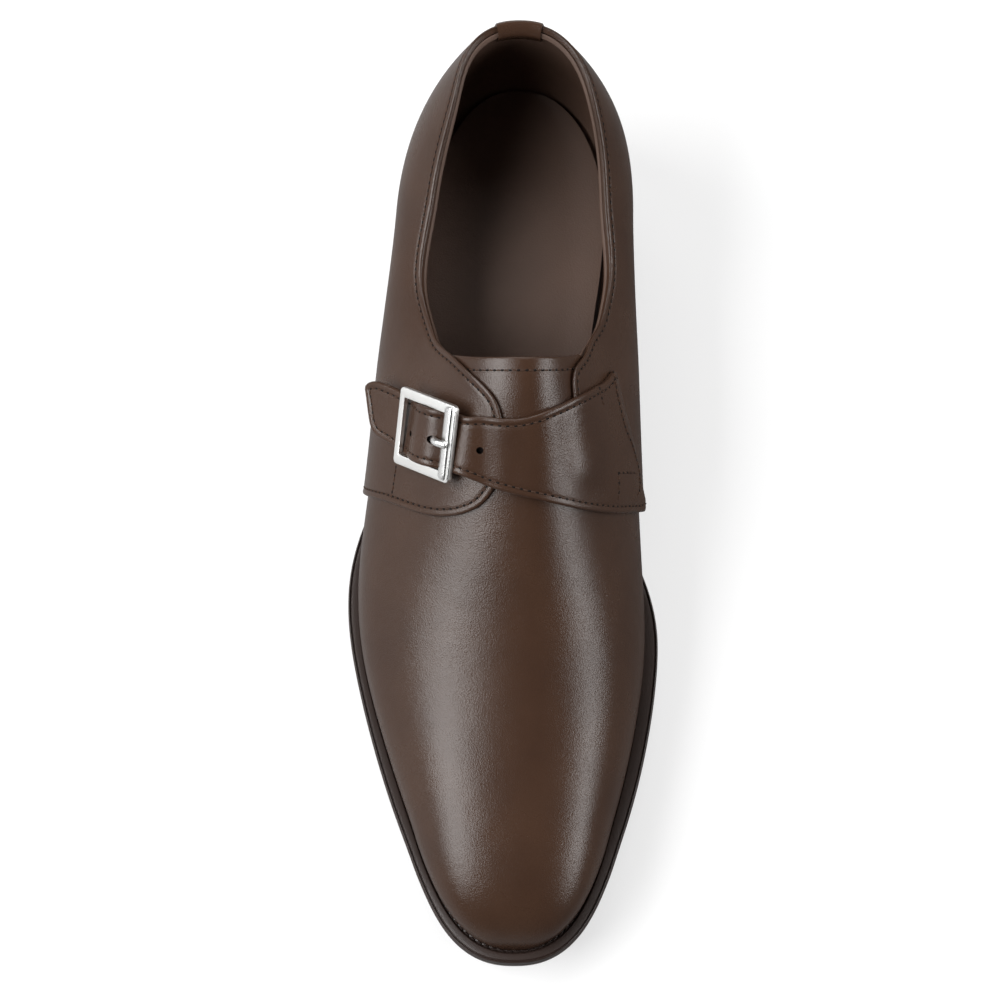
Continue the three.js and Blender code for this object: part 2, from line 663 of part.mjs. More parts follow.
const shoe = new THREE.Group();
shoe.name = 'monk_strap_shoe';
PIECES.forEach(([name, build, finish]) => {
  const mesh = new THREE.Mesh(build(), new THREE.MeshStandardMaterial(finish));
  mesh.name = name;
  shoe.add(mesh);
});

// The origin is the middle of the footprint, on the floor.
const box = new THREE.Box3().setFromObject(shoe);
const middle = box.getCenter(new THREE.Vector3());
shoe.position.set(-middle.x, -middle.y, -box.min.z);

export default shoe;
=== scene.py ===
"""A monk strap shoe for the right foot, in brown calf, standing empty on its heel and forefoot."""
import math

import bpy
import numpy as np
from mathutils import Matrix, Vector


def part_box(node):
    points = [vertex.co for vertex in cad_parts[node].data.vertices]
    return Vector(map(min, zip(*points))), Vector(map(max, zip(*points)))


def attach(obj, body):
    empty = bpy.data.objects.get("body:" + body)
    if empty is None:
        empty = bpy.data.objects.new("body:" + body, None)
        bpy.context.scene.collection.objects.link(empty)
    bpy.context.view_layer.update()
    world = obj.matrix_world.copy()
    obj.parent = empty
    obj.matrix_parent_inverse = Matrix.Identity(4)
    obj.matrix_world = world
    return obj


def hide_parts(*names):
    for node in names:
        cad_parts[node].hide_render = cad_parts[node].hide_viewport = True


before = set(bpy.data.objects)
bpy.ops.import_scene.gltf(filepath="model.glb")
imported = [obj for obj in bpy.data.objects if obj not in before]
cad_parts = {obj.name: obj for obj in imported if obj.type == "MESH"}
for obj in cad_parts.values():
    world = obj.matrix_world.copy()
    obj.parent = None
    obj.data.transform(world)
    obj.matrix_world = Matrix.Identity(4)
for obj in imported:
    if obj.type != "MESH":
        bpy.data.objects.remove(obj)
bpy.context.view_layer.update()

MM = 0.001

# ---------------------------------------------------------------- the last, in millimetres
# Along the shoe, t is the distance from the back of the upper towards the toe. Around it, g is the girth:
# 0 on the ridge, -1 at the outer feather edge and +1 at the inner one.
TIP = 297
HEEL_ROUND = 56
HEEL_POWER = 2.25
TOE_ROUND = 36
TOE_POWER = 2.2
TOE_DROP = 42
DROP_POWER = 2.5
WIDEST = 0.8
TOE_WALL = 0.75
GAP = 0.3
SOLE = {
    "back": 3.5, "tip": 301.5, "heel_round": 34, "heel_power": 2.2, "toe_round": 36, "toe_power": 2.35,
    "thick": 5,
}
HEEL = {"height": 25.5, "drop": 3, "front": 72, "top_piece": 6.5, "hollow": 3, "taper": 0.95}
BALL = (190, 216)
TOE_SPRING = 12
# How far the back seam bows towards the toe above and below the widest level, and where along t that ends.
LEAN = {"above": 7, "below": 4, "rise": 50, "drop": 18, "power": 1.7, "fade": 90}


def spline(xs, ys):
    """A natural cubic spline through the points."""
    xs = np.array(xs, float)
    ys = np.array(ys, float)
    n = len(xs)
    h = np.diff(xs)
    system = np.eye(n)
    right = np.zeros((n,) + ys.shape[1:])
    for i in range(1, n - 1):
        system[i, i - 1:i + 2] = h[i - 1], 2 * (h[i - 1] + h[i]), h[i]
        right[i] = 6 * ((ys[i + 1] - ys[i]) / h[i] - (ys[i] - ys[i - 1]) / h[i - 1])
    bend = np.linalg.solve(system, right.reshape(n, -1)).reshape(right.shape)

    def value(x):
        x = np.asarray(x, float)
        i = np.clip(np.searchsorted(xs, x) - 1, 0, n - 2)
        a = (xs[i + 1] - x).reshape(x.shape + (1,) * (ys.ndim - 1))
        b = (x - xs[i]).reshape(a.shape)
        step = h[i].reshape(a.shape)
        cubic = (bend[i] * a ** 3 + bend[i + 1] * b ** 3) / (6 * step)
        from_left = (ys[i] / step - bend[i] * step / 6) * a
        from_right = (ys[i + 1] / step - bend[i + 1] * step / 6) * b
        return cubic + from_left + from_right
    return value


def table(names, rows):
    """A spline for each named column, over the rows' first column."""
    columns = np.array(rows, float)
    return {name: spline(columns[:, 0], columns[:, k + 1]) for k, name in enumerate(names)}


LAST = table(
    ("outer", "inner", "low", "top", "axis", "ridge", "slim_outer", "slim_inner", "tuck_outer", "tuck_inner"),
    [
        (0, 37.6, 38.2, 20, 118, 1.7, 0, 0, 0, 6, 6),
        (22, 38.3, 39.1, 19, 104, 1.4, 0, 0.08, 0.01, 6, 6),
        (45, 38.9, 39.4, 18, 88, 0.5, 0, 0.08, 0.01, 6, 6),
        (68, 40.2, 39.6, 18, 80, 0, 0, 0.12, 0.06, 6.5, 7),
        (92, 42.2, 39.4, 16, 84, 0, 1, 0.16, 0.11, 8, 10),
        (118, 45, 40.1, 14, 91, 0, 3, 0.13, 0.12, 8, 11),
        (145, 48.3, 41.3, 13, 80, 0, 4, 0.09, 0.07, 6, 8),
        (170, 51.4, 42.6, 12, 67.5, 0, 4, 0.05, 0.03, 4, 5),
        (197, 50.3, 43.2, 12, 56, 0, 3, 0.02, 0, 3, 3.5),
        (222, 44.5, 40.2, 12, 48, 0, 1.5, 0, -0.02, 3, 3),
        (247, 36.6, 34.6, 12, 43.6, 0, 0.5, -0.03, -0.04, 3, 3),
        (272, 29, 28.2, 12.5, 40.8, 0, 0, -0.05, -0.05, 3, 3),
        (297, 25.6, 25.6, 12, 39.5, 0, 0, -0.05, -0.05, 3, 3),
    ],
)
OUTLINE = table(("outer", "inner"), [
    (3.5, 32.5, 32.5),
    (30, 33, 33),
    (65, 33.5, 33),
    (95, 34.5, 30.5),
    (125, 38.5, 30),
    (148, 48.2, 35),
    (166, 54.2, 42),
    (186, 55.2, 47.6),
    (206, 52, 47.4),
    (229, 46.2, 43.8),
    (253, 38.5, 37.6),
    (277.5, 30.2, 30.1),
    (301.5, 26.6, 26.6),
])
COLLAR = table(("outer", "inner"), [
    (0, 91.5, 91.5),
    (20, 86.5, 87),
    (40, 76, 76.5),
    (60, 66.5, 67),
    (80, 62, 62.5),
    (96, 65, 65.5),
    (108, 72, 72),
    (118, 82, 82),
])


def smooth(x, low=0.0, high=1.0):
    """0 below low, 1 above high, and an even slope between."""
    s = np.clip((np.asarray(x, float) - low) / (high - low), 0, 1)
    return s * s * (3 - 2 * s)


def bump(x, middle, width):
    """A soft ridge of height 1."""
    return np.exp(-((np.asarray(x, float) - middle) / width) ** 2)


def mix(a, b, s):
    return a + (b - a) * s


def rounding(into, length, power):
    """The width left at a place that lies so far into a rounded end: 1 before the end and 0 at its tip."""
    s = np.clip(into / length, 0, 1)
    return (1 - s ** power) ** (1 / power)


def tread(t):
    """Height of the outsole's underside."""
    t = np.asarray(t, float)
    seat = HEEL["height"] - HEEL["drop"] * (t - SOLE["back"]) / (HEEL["front"] - SOLE["back"])
    s = np.clip((t - HEEL["front"]) / (BALL[0] - HEEL["front"]), 0, 1)
    rear = seat * (1 - s ** 3 * (s * (6 * s - 15) + 10))
    toe = TOE_SPRING * np.clip((t - BALL[1]) / (SOLE["tip"] - BALL[1]), 0, 1) ** 2
    return np.where(t < BALL[0], rear, toe)


def sole_top(t):
    return tread(t) + SOLE["thick"]


def upper_ends(t):
    """The upper's width at t as a share of its full width, rounded off at heel and toe."""
    heel = rounding(HEEL_ROUND - t, HEEL_ROUND, HEEL_POWER)
    return heel * rounding(t - TIP + TOE_ROUND, TOE_ROUND, TOE_POWER)


def levels(t):
    """Heights of the feather edge, of the widest place and of the ridge."""
    toe = rounding(t - TIP + TOE_DROP, TOE_DROP, DROP_POWER)
    feather = sole_top(t) + GAP
    top = feather + (LAST["top"](t) - feather) * toe
    share = mix(TOE_WALL, LAST["low"](t) / (LAST["top"](t) - feather), toe)
    return feather, feather + (top - feather) * share, top


def by_side(g, name, t):
    """The last's own value at t for the side that g lies on."""
    return np.where(g < 0, LAST[name + "outer"](t), LAST[name + "inner"](t))


def last_point(t, g, above=0.0):
    """Points of the last, or of the same form grown by so many millimetres."""
    t, g, above = np.broadcast_arrays(*(np.asarray(v, float) for v in (t, g, above)))
    side = np.where(g < 0, -1.0, 1.0)
    ends = upper_ends(t)
    half = (by_side(g, "", t) + above) * ends
    tuck = by_side(g, "tuck_", t) * ends
    ridge = LAST["ridge"](t) * ends
    feather, widest, top = levels(t)
    girth = np.abs(g)
    high = (1 - np.minimum(girth / WIDEST, 1)) * math.pi / 2
    slim = 1 - by_side(g, "slim_", t) * np.sin(2 * high) ** 2
    low = np.clip((girth - WIDEST) / (1 - WIDEST), 0, 1) * math.pi / 2
    on_top = girth <= WIDEST
    x_above = ridge + (side * half - ridge) * slim * np.cos(high)
    x_below = side * (half - tuck * (1 - np.cos(low)))
    z_above = widest + (top - widest) * slim * np.sin(high)
    z_below = widest - (widest - feather) * np.sin(low)
    x = np.where(on_top, x_above, x_below)
    z = np.where(on_top, z_above, z_below)
    rise = z - widest
    lean = LEAN["above"] * np.clip(rise / LEAN["rise"], 0, 2) ** LEAN["power"]
    lean = lean + LEAN["below"] * np.clip(-rise / LEAN["drop"], 0, 1) ** 2
    grow = 1 + above / (LAST["top"](t) - feather)
    y = -(t + lean * (1 - smooth(t, 0, LEAN["fade"])) - above * (1 - 2 * t / TIP))
    return np.stack([x + LAST["axis"](t), y, feather + (z - feather) * grow], axis=-1)


def unit(v):
    return v / np.maximum(np.linalg.norm(v, axis=-1, keepdims=True), 1e-12)


def last_slopes(t, g, above=0.0):
    """How the point moves for one millimetre of t and for one unit of girth."""
    step = 0.002
    back = np.maximum(t - step, 0)
    front = np.minimum(t + step, TIP)
    along = (last_point(front, g, above) - last_point(back, g, above)) / (front - back)[..., None]
    around = (last_point(t, g + step, above) - last_point(t, g - step, above)) / (2 * step)
    return along, around


def last_normal(t, g, above=0.0):
    along, around = last_slopes(np.asarray(t, float), np.asarray(g, float), above)
    return unit(np.cross(along, around))


def collar_girth(t, side):
    """The girth at which the last's side reaches the collar's height, closed in on by repeated steps."""
    _, widest, top = levels(t)
    name = "outer" if side < 0 else "inner"
    reached = (COLLAR[name](t) - widest) / (top - widest)
    angle = np.arcsin(np.clip(reached, 0, 1))
    for _ in range(8):
        slim = 1 - LAST["slim_" + name](t) * np.sin(2 * angle) ** 2
        angle = np.arcsin(np.clip(reached / slim, 0, 1))
    return side * WIDEST * (1 - angle / (math.pi / 2))


# ---------------------------------------------------------------- placing in the frame
def sole_ends(t):
    """The outsole's width at t as a share of its full width, rounded off at heel and toe."""
    heel = rounding(SOLE["back"] + SOLE["heel_round"] - t, SOLE["heel_round"], SOLE["heel_power"])
    return heel * rounding(t - SOLE["tip"] + SOLE["toe_round"], SOLE["toe_round"], SOLE["toe_power"])


def sole_edge(t, side, scale=1.0):
    """The outsole's outline at t, as x and y."""
    half = OUTLINE["outer" if side < 0 else "inner"](t) * sole_ends(t) * scale
    return np.stack([side * half + LAST["axis"](t), -np.asarray(t, float)], axis=-1)


def find_shift():
    """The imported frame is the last's own frame moved sideways and along the shoe."""
    t = np.linspace(SOLE["back"], SOLE["tip"], 600)
    low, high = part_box("outsole")
    widest = (sole_edge(t, 1)[:, 0].max() + sole_edge(t, -1)[:, 0].min()) / 2
    return np.array([(low.x + high.x) / 2 / MM - widest, high.y / MM + SOLE["back"], 0])


SHIFT = find_shift()


def in_frame(points):
    """From the last's millimetres to the frame's metres."""
    return (np.asarray(points, float) + SHIFT) * MM


# ---------------------------------------------------------------- meshes from grids
def ring_faces(rows, columns, first=0):
    """The skin of a tube: rows of points, each row closed on itself."""
    faces = []
    for i in range(rows - 1):
        for j in range(columns):
            a = first + i * columns + j
            b = first + i * columns + (j + 1) % columns
            faces.append((a, b, b + columns, a + columns))
    return faces


def tube_faces(rows, columns, first=0):
    """The skin of a tube with one flat face at each end."""
    last = first + (rows - 1) * columns
    ends = [tuple(range(first, first + columns)), tuple(reversed(range(last, last + columns)))]
    return ring_faces(rows, columns, first) + ends


def zipper(left, right):
    """Triangles between two chains of vertices that run side by side."""
    faces = []
    i = j = 0
    while i < len(left) - 1 or j < len(right) - 1:
        ahead = (i + 1) / max(len(left) - 1, 1) <= (j + 1) / max(len(right) - 1, 1)
        if (ahead and i < len(left) - 1) or j == len(right) - 1:
            faces.append((left[i], left[i + 1], right[j]))
            i += 1
        else:
            faces.append((left[i], right[j + 1], right[j]))
            j += 1
    return faces


def sheet_faces(rows, columns, upper, under):
    """The skin of a flat tube, its two ends closed between its upper columns and its under columns."""
    faces = ring_faces(rows, columns)
    for first, flip in ((0, False), ((rows - 1) * columns, True)):
        cap = zipper([first + k for k in upper], [first + k for k in under])
        faces += [tuple(reversed(f)) for f in cap] if flip else cap
    return faces


def signed_volume(mesh):
    mesh.calc_loop_triangles()
    count = len(mesh.loop_triangles)
    corners = np.empty(count * 3, np.int32)
    mesh.loop_triangles.foreach_get("vertices", corners)
    points = np.empty(len(mesh.vertices) * 3)
    mesh.vertices.foreach_get("co", points)
    p = points.reshape(-1, 3)[corners].reshape(-1, 3, 3)
    return np.einsum("ij,ij->i", p[:, 0], np.cross(p[:, 1], p[:, 2])).sum() / 6


def deselect():
    bpy.ops.object.select_all(action="DESELECT")


def activate(piece):
    deselect()
    piece.select_set(True)
    bpy.context.view_layer.objects.active = piece


# In metres: corners closer than the first are one corner, and edges shorter than the second are taken out.
SAME_PLACE = 2e-6
SLIVER = 1e-7


def merge_doubles(piece):
    activate(piece)
    bpy.ops.object.mode_set(mode="EDIT")
    bpy.ops.mesh.select_all(action="SELECT")
    bpy.ops.mesh.remove_doubles(threshold=SAME_PLACE)
    bpy.ops.mesh.dissolve_degenerate(threshold=SLIVER)
    bpy.ops.mesh.normals_make_consistent(inside=False)
    bpy.ops.object.mode_set(mode="OBJECT")


def new_piece(name, points, faces, uv=None):
    """A closed mesh object in the frame, from points in the last's millimetres."""
    mesh = bpy.data.meshes.new(name)
    mesh.from_pydata(in_frame(points).reshape(-1, 3).tolist(), [], faces)
    if uv is not None:
        layer = mesh.uv_layers.new(name="seam")
        index = np.empty(len(mesh.loops), np.int32)
        mesh.loops.foreach_get("vertex_index", index)
        layer.data.foreach_set("uv", np.asarray(uv, float).reshape(-1, 2)[index].ravel())
    piece = bpy.data.objects.new(name, mesh)
    bpy.context.collection.objects.link(piece)
    merge_doubles(piece)
    if signed_volume(mesh) < 0:
        mesh.flip_normals()
    return piece


def finish(piece, material, angle=50, stands_for=()):
    """Gives a piece its material, unless it has its own already, and its shading; hangs it under the root
    body and hides the CAD parts that it stands for.
    """
    if material:
        piece.data.materials.clear()
        piece.data.materials.append(material)
    activate(piece)
    bpy.ops.object.shade_smooth_by_angle(angle=math.radians(angle))
    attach(piece, "root")
    if stands_for:
        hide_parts(*stands_for)
    return piece


def apply_modifier(piece, kind, **settings):
    activate(piece)
    modifier = piece.modifiers.new(kind.title(), kind)
    for key, value in settings.items():
        setattr(modifier, key, value)
    bpy.ops.object.modifier_apply(modifier=modifier.name)


def bevel_corners(piece, width, segments, angle):
    """Rounds every edge that turns more sharply than the angle in degrees."""
    apply_modifier(piece, "BEVEL", width=width * MM, segments=segments, limit_method="ANGLE",
                   angle_limit=math.radians(angle))


# ---------------------------------------------------------------- routes on the last
def lengths(points):
    """Distance along a chain of 3D points."""
    return np.concatenate([[0], np.cumsum(np.linalg.norm(np.diff(points, axis=0), axis=1))])


def interpolate(want, run, values):
    """The values at wanted places along a run, column by column."""
    return np.stack([np.interp(want, run, column) for column in values.T], axis=-1)


def within_ends(places):
    """Keeps (t, g) places between the last's two ends."""
    places[..., 0] = np.clip(places[..., 0], 0, TIP)
    return places


def within_last(places):
    """Keeps (t, g) places between the last's two ends and its two feather edges."""
    places[..., 1] = np.clip(places[..., 1], -1, 1)
    return within_ends(places)


ROUTE_SAMPLES = 900


def route(knots, step, above=0.0):
    """Evenly spaced (t, g) places along a smooth curve through the knots."""
    knots = np.array(knots, float)
    chord = lengths(last_point(knots[:, 0], knots[:, 1]))
    curve = spline(chord, knots)(np.linspace(0, chord[-1], ROUTE_SAMPLES))
    return evenly(within_ends(curve), step, above)


def evenly(curve, step, above=0.0):
    """The same curve of (t, g) places, about one step of millimetres apart."""
    length = lengths(last_point(curve[:, 0], curve[:, 1], above))
    count = max(int(round(length[-1] / step)) + 1, 2)
    want = np.linspace(0, length[-1], count)
    return interpolate(want, length, curve)


def inward(edge, side):
    """For each place on an edge, the step in (t, g) that goes one millimetre into the leather."""
    along, around = last_slopes(edge[:, 0], edge[:, 1])
    tangent = unit(np.gradient(last_point(edge[:, 0], edge[:, 1]), axis=0))
    normal = unit(np.cross(along, around))
    into = np.cross(normal, tangent) * side
    steps = np.empty_like(edge)
    for i in range(len(edge)):
        basis = np.stack([along[i], around[i]], axis=1)
        steps[i] = np.linalg.lstsq(basis, into[i], rcond=None)[0]
    return steps


# ---------------------------------------------------------------- leather with a turned edge
# The section of a turned and stitched edge: distance from the edge, height against the leather's face.
TURNED_EDGE = [
    (0.0, -0.55), (0.02, -0.34), (0.12, -0.14), (0.32, 0.02), (0.6, 0.12), (0.95, 0.16), (1.3, 0.12),
    (1.65, 0.02), (1.95, -0.1), (2.25, -0.16), (2.55, -0.1), (2.95, 0.0), (3.6, 0.03), (4.6, 0.0),
]
# The seam beside a turned edge: how far in it runs, and its height against the leather's face.
STITCH_IN = 2.25
STITCH_SINK = -0.12
# Where a sheet's underside starts, in from its edge.
UNDER_IN = 0.35
# The distance from an edge that the underside is given, so that no furrow is drawn on it.
NO_EDGE = 50.0


def edge_sheet(edge, into, far, face, section, size):
    """A sheet with a worked edge, from there to its far places: its points, its faces and its seam map.

    face(t, g) is the height of its face over the last. The size gives its thickness, the counts of columns
    across its face and its underside, and how much closer they lie at the edge. The seam map holds the run
    along the edge, and the distance in from it as far as the worked edge reaches, in millimetres.
    """
    far_steps, under_steps, ease = size["face_rows"], size["under_rows"], size["ease"]
    profile = np.array(section)
    near = profile[:, 0]
    start = edge + into * near[-1]
    share = 1 - (1 - np.linspace(0, 1, far_steps + 1)[1:]) ** ease
    top = np.concatenate([
        edge[:, None, :] + into[:, None, :] * near[None, :, None],
        start[:, None, :] + (far - start)[:, None, :] * share[None, :, None],
    ], axis=1)
    top = within_last(top)
    height = face(top[..., 0], top[..., 1])
    height[:, :len(near)] += profile[:, 1]
    share = 1 - (1 - np.linspace(0, 1, under_steps + 1)) ** ease
    near_under = edge + into * UNDER_IN
    under = within_last(near_under[:, None, :] + (far - near_under)[:, None, :] * share[None, :, None])
    under_height = face(under[..., 0], under[..., 1]) - size["thick"]
    places = np.concatenate([under[:, ::-1], top], axis=1)
    heights = np.concatenate([under_height[:, ::-1], height], axis=1)
    points = last_point(places[..., 0], places[..., 1], heights)
    rows, columns = points.shape[:2]
    split = under.shape[1]
    faces = sheet_faces(rows, columns, range(split, columns), range(split - 1, -1, -1))
    run = lengths(last_point(edge[:, 0], edge[:, 1]))
    beyond = near[-1] + np.linspace(1, far_steps, far_steps)
    from_edge = np.concatenate([np.full(split, NO_EDGE), near, beyond])
    uv = np.stack(np.broadcast_arrays(run[:, None], from_edge[None, :]), axis=-1)
    return points, faces, uv


# ---------------------------------------------------------------- seams
# Size and spacing of the stitches: flat is a stitch's height as a share of its width, and phase its place
# between two needle holes.
THREAD = {"width": 0.56, "pitch": 2.6, "length": 1.7, "flat": 1.0, "phase": 0.5}
# Flat near-black marks at the needle holes, painted shade for the holes.
NEEDLE_HOLE_SHADE = {"width": 0.72, "pitch": 2.6, "length": 1.1, "flat": 0.4, "phase": 0.0}
WELT_THREAD = {"width": 0.75, "pitch": 2.6, "length": 2.0, "flat": 1.0, "phase": 0.5}
# A stitch's rings: place along its length, width, and lift as a share of its width.
STITCH_RINGS = [
    (-0.5, 0.3, -0.22), (-0.42, 0.75, -0.08), (-0.2, 1.0, 0.05),
    (0.2, 1.0, 0.05), (0.42, 0.75, -0.08), (0.5, 0.3, -0.22),
]
STITCH_SIDES = 6
SEAM_STEP = 0.4


def resample(points, normals, pitch, phase):
    """Stitch centres, directions and normals, evenly spaced along a chain of points."""
    run = lengths(points)
    count = max(int(run[-1] // pitch), 1)
    want = (np.arange(count) + phase) * run[-1] / count
    ahead = interpolate(want + pitch / 4, run, points)
    behind = interpolate(want - pitch / 4, run, points)
    return interpolate(want, run, points), unit(ahead - behind), unit(interpolate(want, run, normals))


def stitches(name, rows, size, material):
    """One mesh holding every stitch of the rows. Each stitch is a short bowed cord."""
    points = []
    faces = []
    for chain, normals in rows:
        centre, direction, normal = resample(chain, normals, size["pitch"], size["phase"])
        across = unit(np.cross(normal, direction))
        for c, d, a, n in zip(centre, direction, across, unit(np.cross(direction, across))):
            first = len(points)
            for along, wide, lift in STITCH_RINGS:
                for k in range(STITCH_SIDES):
                    turn = 2 * math.pi * k / STITCH_SIDES
                    side = math.cos(turn) * wide * size["width"] / 2
                    up = (math.sin(turn) * wide / 2 + lift) * size["width"] * size["flat"]
                    points.append(c + d * along * size["length"] + a * side + n * up)
            faces += tube_faces(len(STITCH_RINGS), STITCH_SIDES, first)
    piece = new_piece(name, points, faces)
    return finish(piece, material, angle=60)


def seam_on_last(places, height):
    """A seam that follows (t, g) places at a height over the last."""
    fine = evenly(np.asarray(places, float), SEAM_STEP)
    level = height(fine[:, 0], fine[:, 1]) if callable(height) else np.full(len(fine), float(height))
    return last_point(fine[:, 0], fine[:, 1], level), last_normal(fine[:, 0], fine[:, 1])


def seam_on_piece(piece, places, height):
    """A seam that follows (t, g) places and lies on a piece's own face."""
    fine = route(places, SEAM_STEP, height)
    chain, normals = [], []
    for point in in_frame(last_point(fine[:, 0], fine[:, 1], height)):
        _, place, normal, _ = piece.closest_point_on_mesh(Vector(point))
        chain.append(np.array(place) / MM - SHIFT)
        normals.append(np.array(normal))
    return np.array(chain), np.array(normals)


# ---------------------------------------------------------------- quarters, vamp and lining
QUARTER = {
    "thick": 1.7, "proud": 1.75, "fade": (55, 112), "step": 0.7, "face_rows": 42, "under_rows": 9,
    "ease": 1.0,
}
LINING = {
    "thick": 1.4, "behind": 1.85, "below_rim": 0.3, "front_girth": 0.296, "step": 1.0, "face_rows": 24,
    "under_rows": 24, "ease": 1.0,
}
VAMP = {
    "thick": 1.6, "corner": 112.6, "rise": 4.7, "corner_girth": 0.286, "step": 1.2, "face_rows": 170,
    "under_rows": 40, "ease": 1.7,
}
# Behind the collar's corner by this much, a quarter's rows reach the feather edge.
SET_BACK = 7
# Along t, where the rows of a quarter turn from straight down to square to the edge.
BACK_SEAM_FADE = (3, 16)
# Where each quarter's last row meets the feather edge.
QUARTER_FRONT = {"outer": 133, "inner": 139}
COLLAR_STOPS = (0, 0.3, 1.2, 3, 6, 10, 16, 24, 34, 46, 58, 70, 82, 92, 100)
OUTER_FACING = [
    (107, -0.372), (113.6, -0.283), (121.2, -0.193), (126, -0.14), (130.4, -0.101), (134.9, -0.081),
    (142, -0.072), (149, -0.074), (153.6, -0.085), (157.4, -0.106), (161, -0.142), (162.8, -0.193),
    (162.6, -0.283), (159.8, -0.384), (154.5, -0.527), (148.8, -0.7), (143.6, -0.86), (140, -1),
]
INNER_FACING = [
    (106.7, 0.366), (113.5, 0.31), (119, 0.246), (124.1, 0.227), (127.8, 0.229), (134, 0.24), (141, 0.265),
    (147, 0.31), (151, 0.4), (152.5, 0.52), (151.4, 0.66), (149.4, 0.78), (147.4, 0.9), (146, 1),
]
LINING_EDGE = [(0.0, -0.6), (0.03, -0.35), (0.15, -0.12), (0.4, 0.0), (1.2, 0.0)]
TONGUE_EDGE = [
    (0.0, -0.9), (0.04, -0.5), (0.18, -0.2), (0.45, 0.02), (0.9, 0.13), (1.4, 0.14), (2.1, 0.06), (3.2, 0.02),
    (4.1, -0.06), (4.6, -0.14), (5.1, -0.06), (5.9, 0.03), (7.0, 0.0),
]
# The tongue's seam: how far in from its edge, and the share of its width that it runs across.
TONGUE_STITCH_IN = 4.6
TONGUE_SEAM_SHARE = 0.95


def quarter_face(t, g):
    """The quarters lie over the vamp in front and are the shoe's own face behind."""
    return QUARTER["proud"] * smooth(t, *QUARTER["fade"])


def lining_face(t, g):
    return quarter_face(t, g) - LINING["behind"]


def collar_knots(side):
    stops = np.array(COLLAR_STOPS, float)
    return [tuple(v) for v in np.stack([stops, collar_girth(stops, side)], axis=-1)]


def into_leather(edge, side):
    """Straight down at the back seam, square to the edge elsewhere."""
    _, around = last_slopes(edge[:, 0], edge[:, 1])
    down = np.stack([np.zeros(len(edge)), side / np.linalg.norm(around, axis=1)], axis=-1)
    square = inward(edge, side)
    return mix(down, square, smooth(edge[:, 0], *BACK_SEAM_FADE)[:, None])


def feather_places(edge, side, corner, last):
    """Where each row of a quarter reaches the feather edge."""
    run = lengths(last_point(edge[:, 0], edge[:, 1]))
    turn = np.argmax(edge[:, 0] >= corner)
    behind = corner - SET_BACK
    t = edge[:, 0] * behind / corner
    t[turn:] = np.interp(run[turn:], (run[turn], run[-1]), (behind, last))
    return np.stack([t, np.full(len(t), float(side))], axis=-1)


def quarter(side, facing, last):
    """One quarter, from the back seam round the collar and down its front edge."""
    edge = route(collar_knots(side) + facing, QUARTER["step"])
    into = into_leather(edge, side)
    far = feather_places(edge, side, facing[0][0], last)
    return edge, into, edge_sheet(edge, into, far, quarter_face, TURNED_EDGE, QUARTER)


def quarter_seam(edge, into):
    """The seam inside a quarter's turned edge."""
    places = within_ends(edge + into * STITCH_IN)
    return seam_on_last(places, lambda t, g: quarter_face(t, g) + STITCH_SINK)


def lining_grid(side, facing):
    """One side's lining, a little below the collar's rim."""
    knots = collar_knots(side) + facing[:1] + [(VAMP["corner"], side * LINING["front_girth"])]
    edge = route(knots, LINING["step"])
    into = into_leather(edge, side)
    edge = within_ends(edge + into * LINING["below_rim"])
    far = np.stack([edge[:, 0], np.full(len(edge), float(side))], axis=-1)
    return edge_sheet(edge, into, far, lining_face, LINING_EDGE, LINING)


def vamp_grid():
    """The vamp with the tongue at its back, whose edge rises to a low arch."""
    g = np.linspace(-1, 1, 800)
    back = VAMP["corner"] + VAMP["rise"] * np.clip(1 - (g / VAMP["corner_girth"]) ** 2, 0, 1)
    edge = evenly(np.stack([back, g], axis=-1), VAMP["step"])
    along, _ = last_slopes(edge[:, 0], edge[:, 1])
    into = np.stack([1 / np.linalg.norm(along, axis=1), np.zeros(len(edge))], axis=-1)
    far = np.stack([np.full(len(edge), float(TIP)), edge[:, 1]], axis=-1)
    return edge, into, edge_sheet(edge, into, far, vamp_face, TONGUE_EDGE, VAMP)


def vamp_face(t, g):
    """The vamp's face is the last's own surface."""
    return 0.0 * t


# The tab's sides are shorter than its middle by the share given, below the depth given.
HEEL_TAB = {"half": 9.3, "columns": 25, "shorter_sides": 0.06, "shortened_below": -10}
# From the tab's lower outside edge over the rim and down the inside: height over the last, then over the rim.
HEEL_TAB_FACE = [
    (0.5, -21.0), (0.72, -20.6), (0.8, -20), (0.8, -16), (0.8, -12), (0.8, -8), (0.8, -4), (0.8, -1.6),
    (0.72, -0.6), (0.45, 0.15), (-0.05, 0.62), (-0.8, 0.82), (-1.7, 0.84), (-2.6, 0.7), (-3.25, 0.36),
    (-3.62, -0.2), (-3.75, -1), (-3.78, -3), (-3.78, -5.6), (-3.6, -6.1),
]
HEEL_TAB_BACK = [
    (-3.1, -6.1), (-3.1, -3), (-3.0, -0.6), (-2.4, 0.1), (-1.5, 0.2), (-0.6, 0.1), (-0.1, -0.5), (0.1, -1.6),
    (0.1, -8), (0.1, -16), (0.1, -21),
]


def tab_place(x, height, rise):
    """A point at x across the back of the shoe, by its height over the last and over the collar's rim."""
    side = -1.0 if x < 0 else 1.0
    half = float(by_side(np.array(side), "", np.array(0.0)))
    t = HEEL_ROUND * (1 - (1 - min(abs(x) / half, 1) ** HEEL_POWER) ** (1 / HEEL_POWER))
    rim = float(collar_girth(t, side))
    g = np.linspace(side * 0.05, side * 0.999, 400)
    z = last_point(t, g, 0)[:, 2]
    rim_z = float(last_point(t, rim, 0)[2])
    below = min(rise, 0.0)
    at = float(np.interp(-(rim_z + below), -z, g))
    point = last_point(t, at, height)
    return point + (0, 0, rise - below)


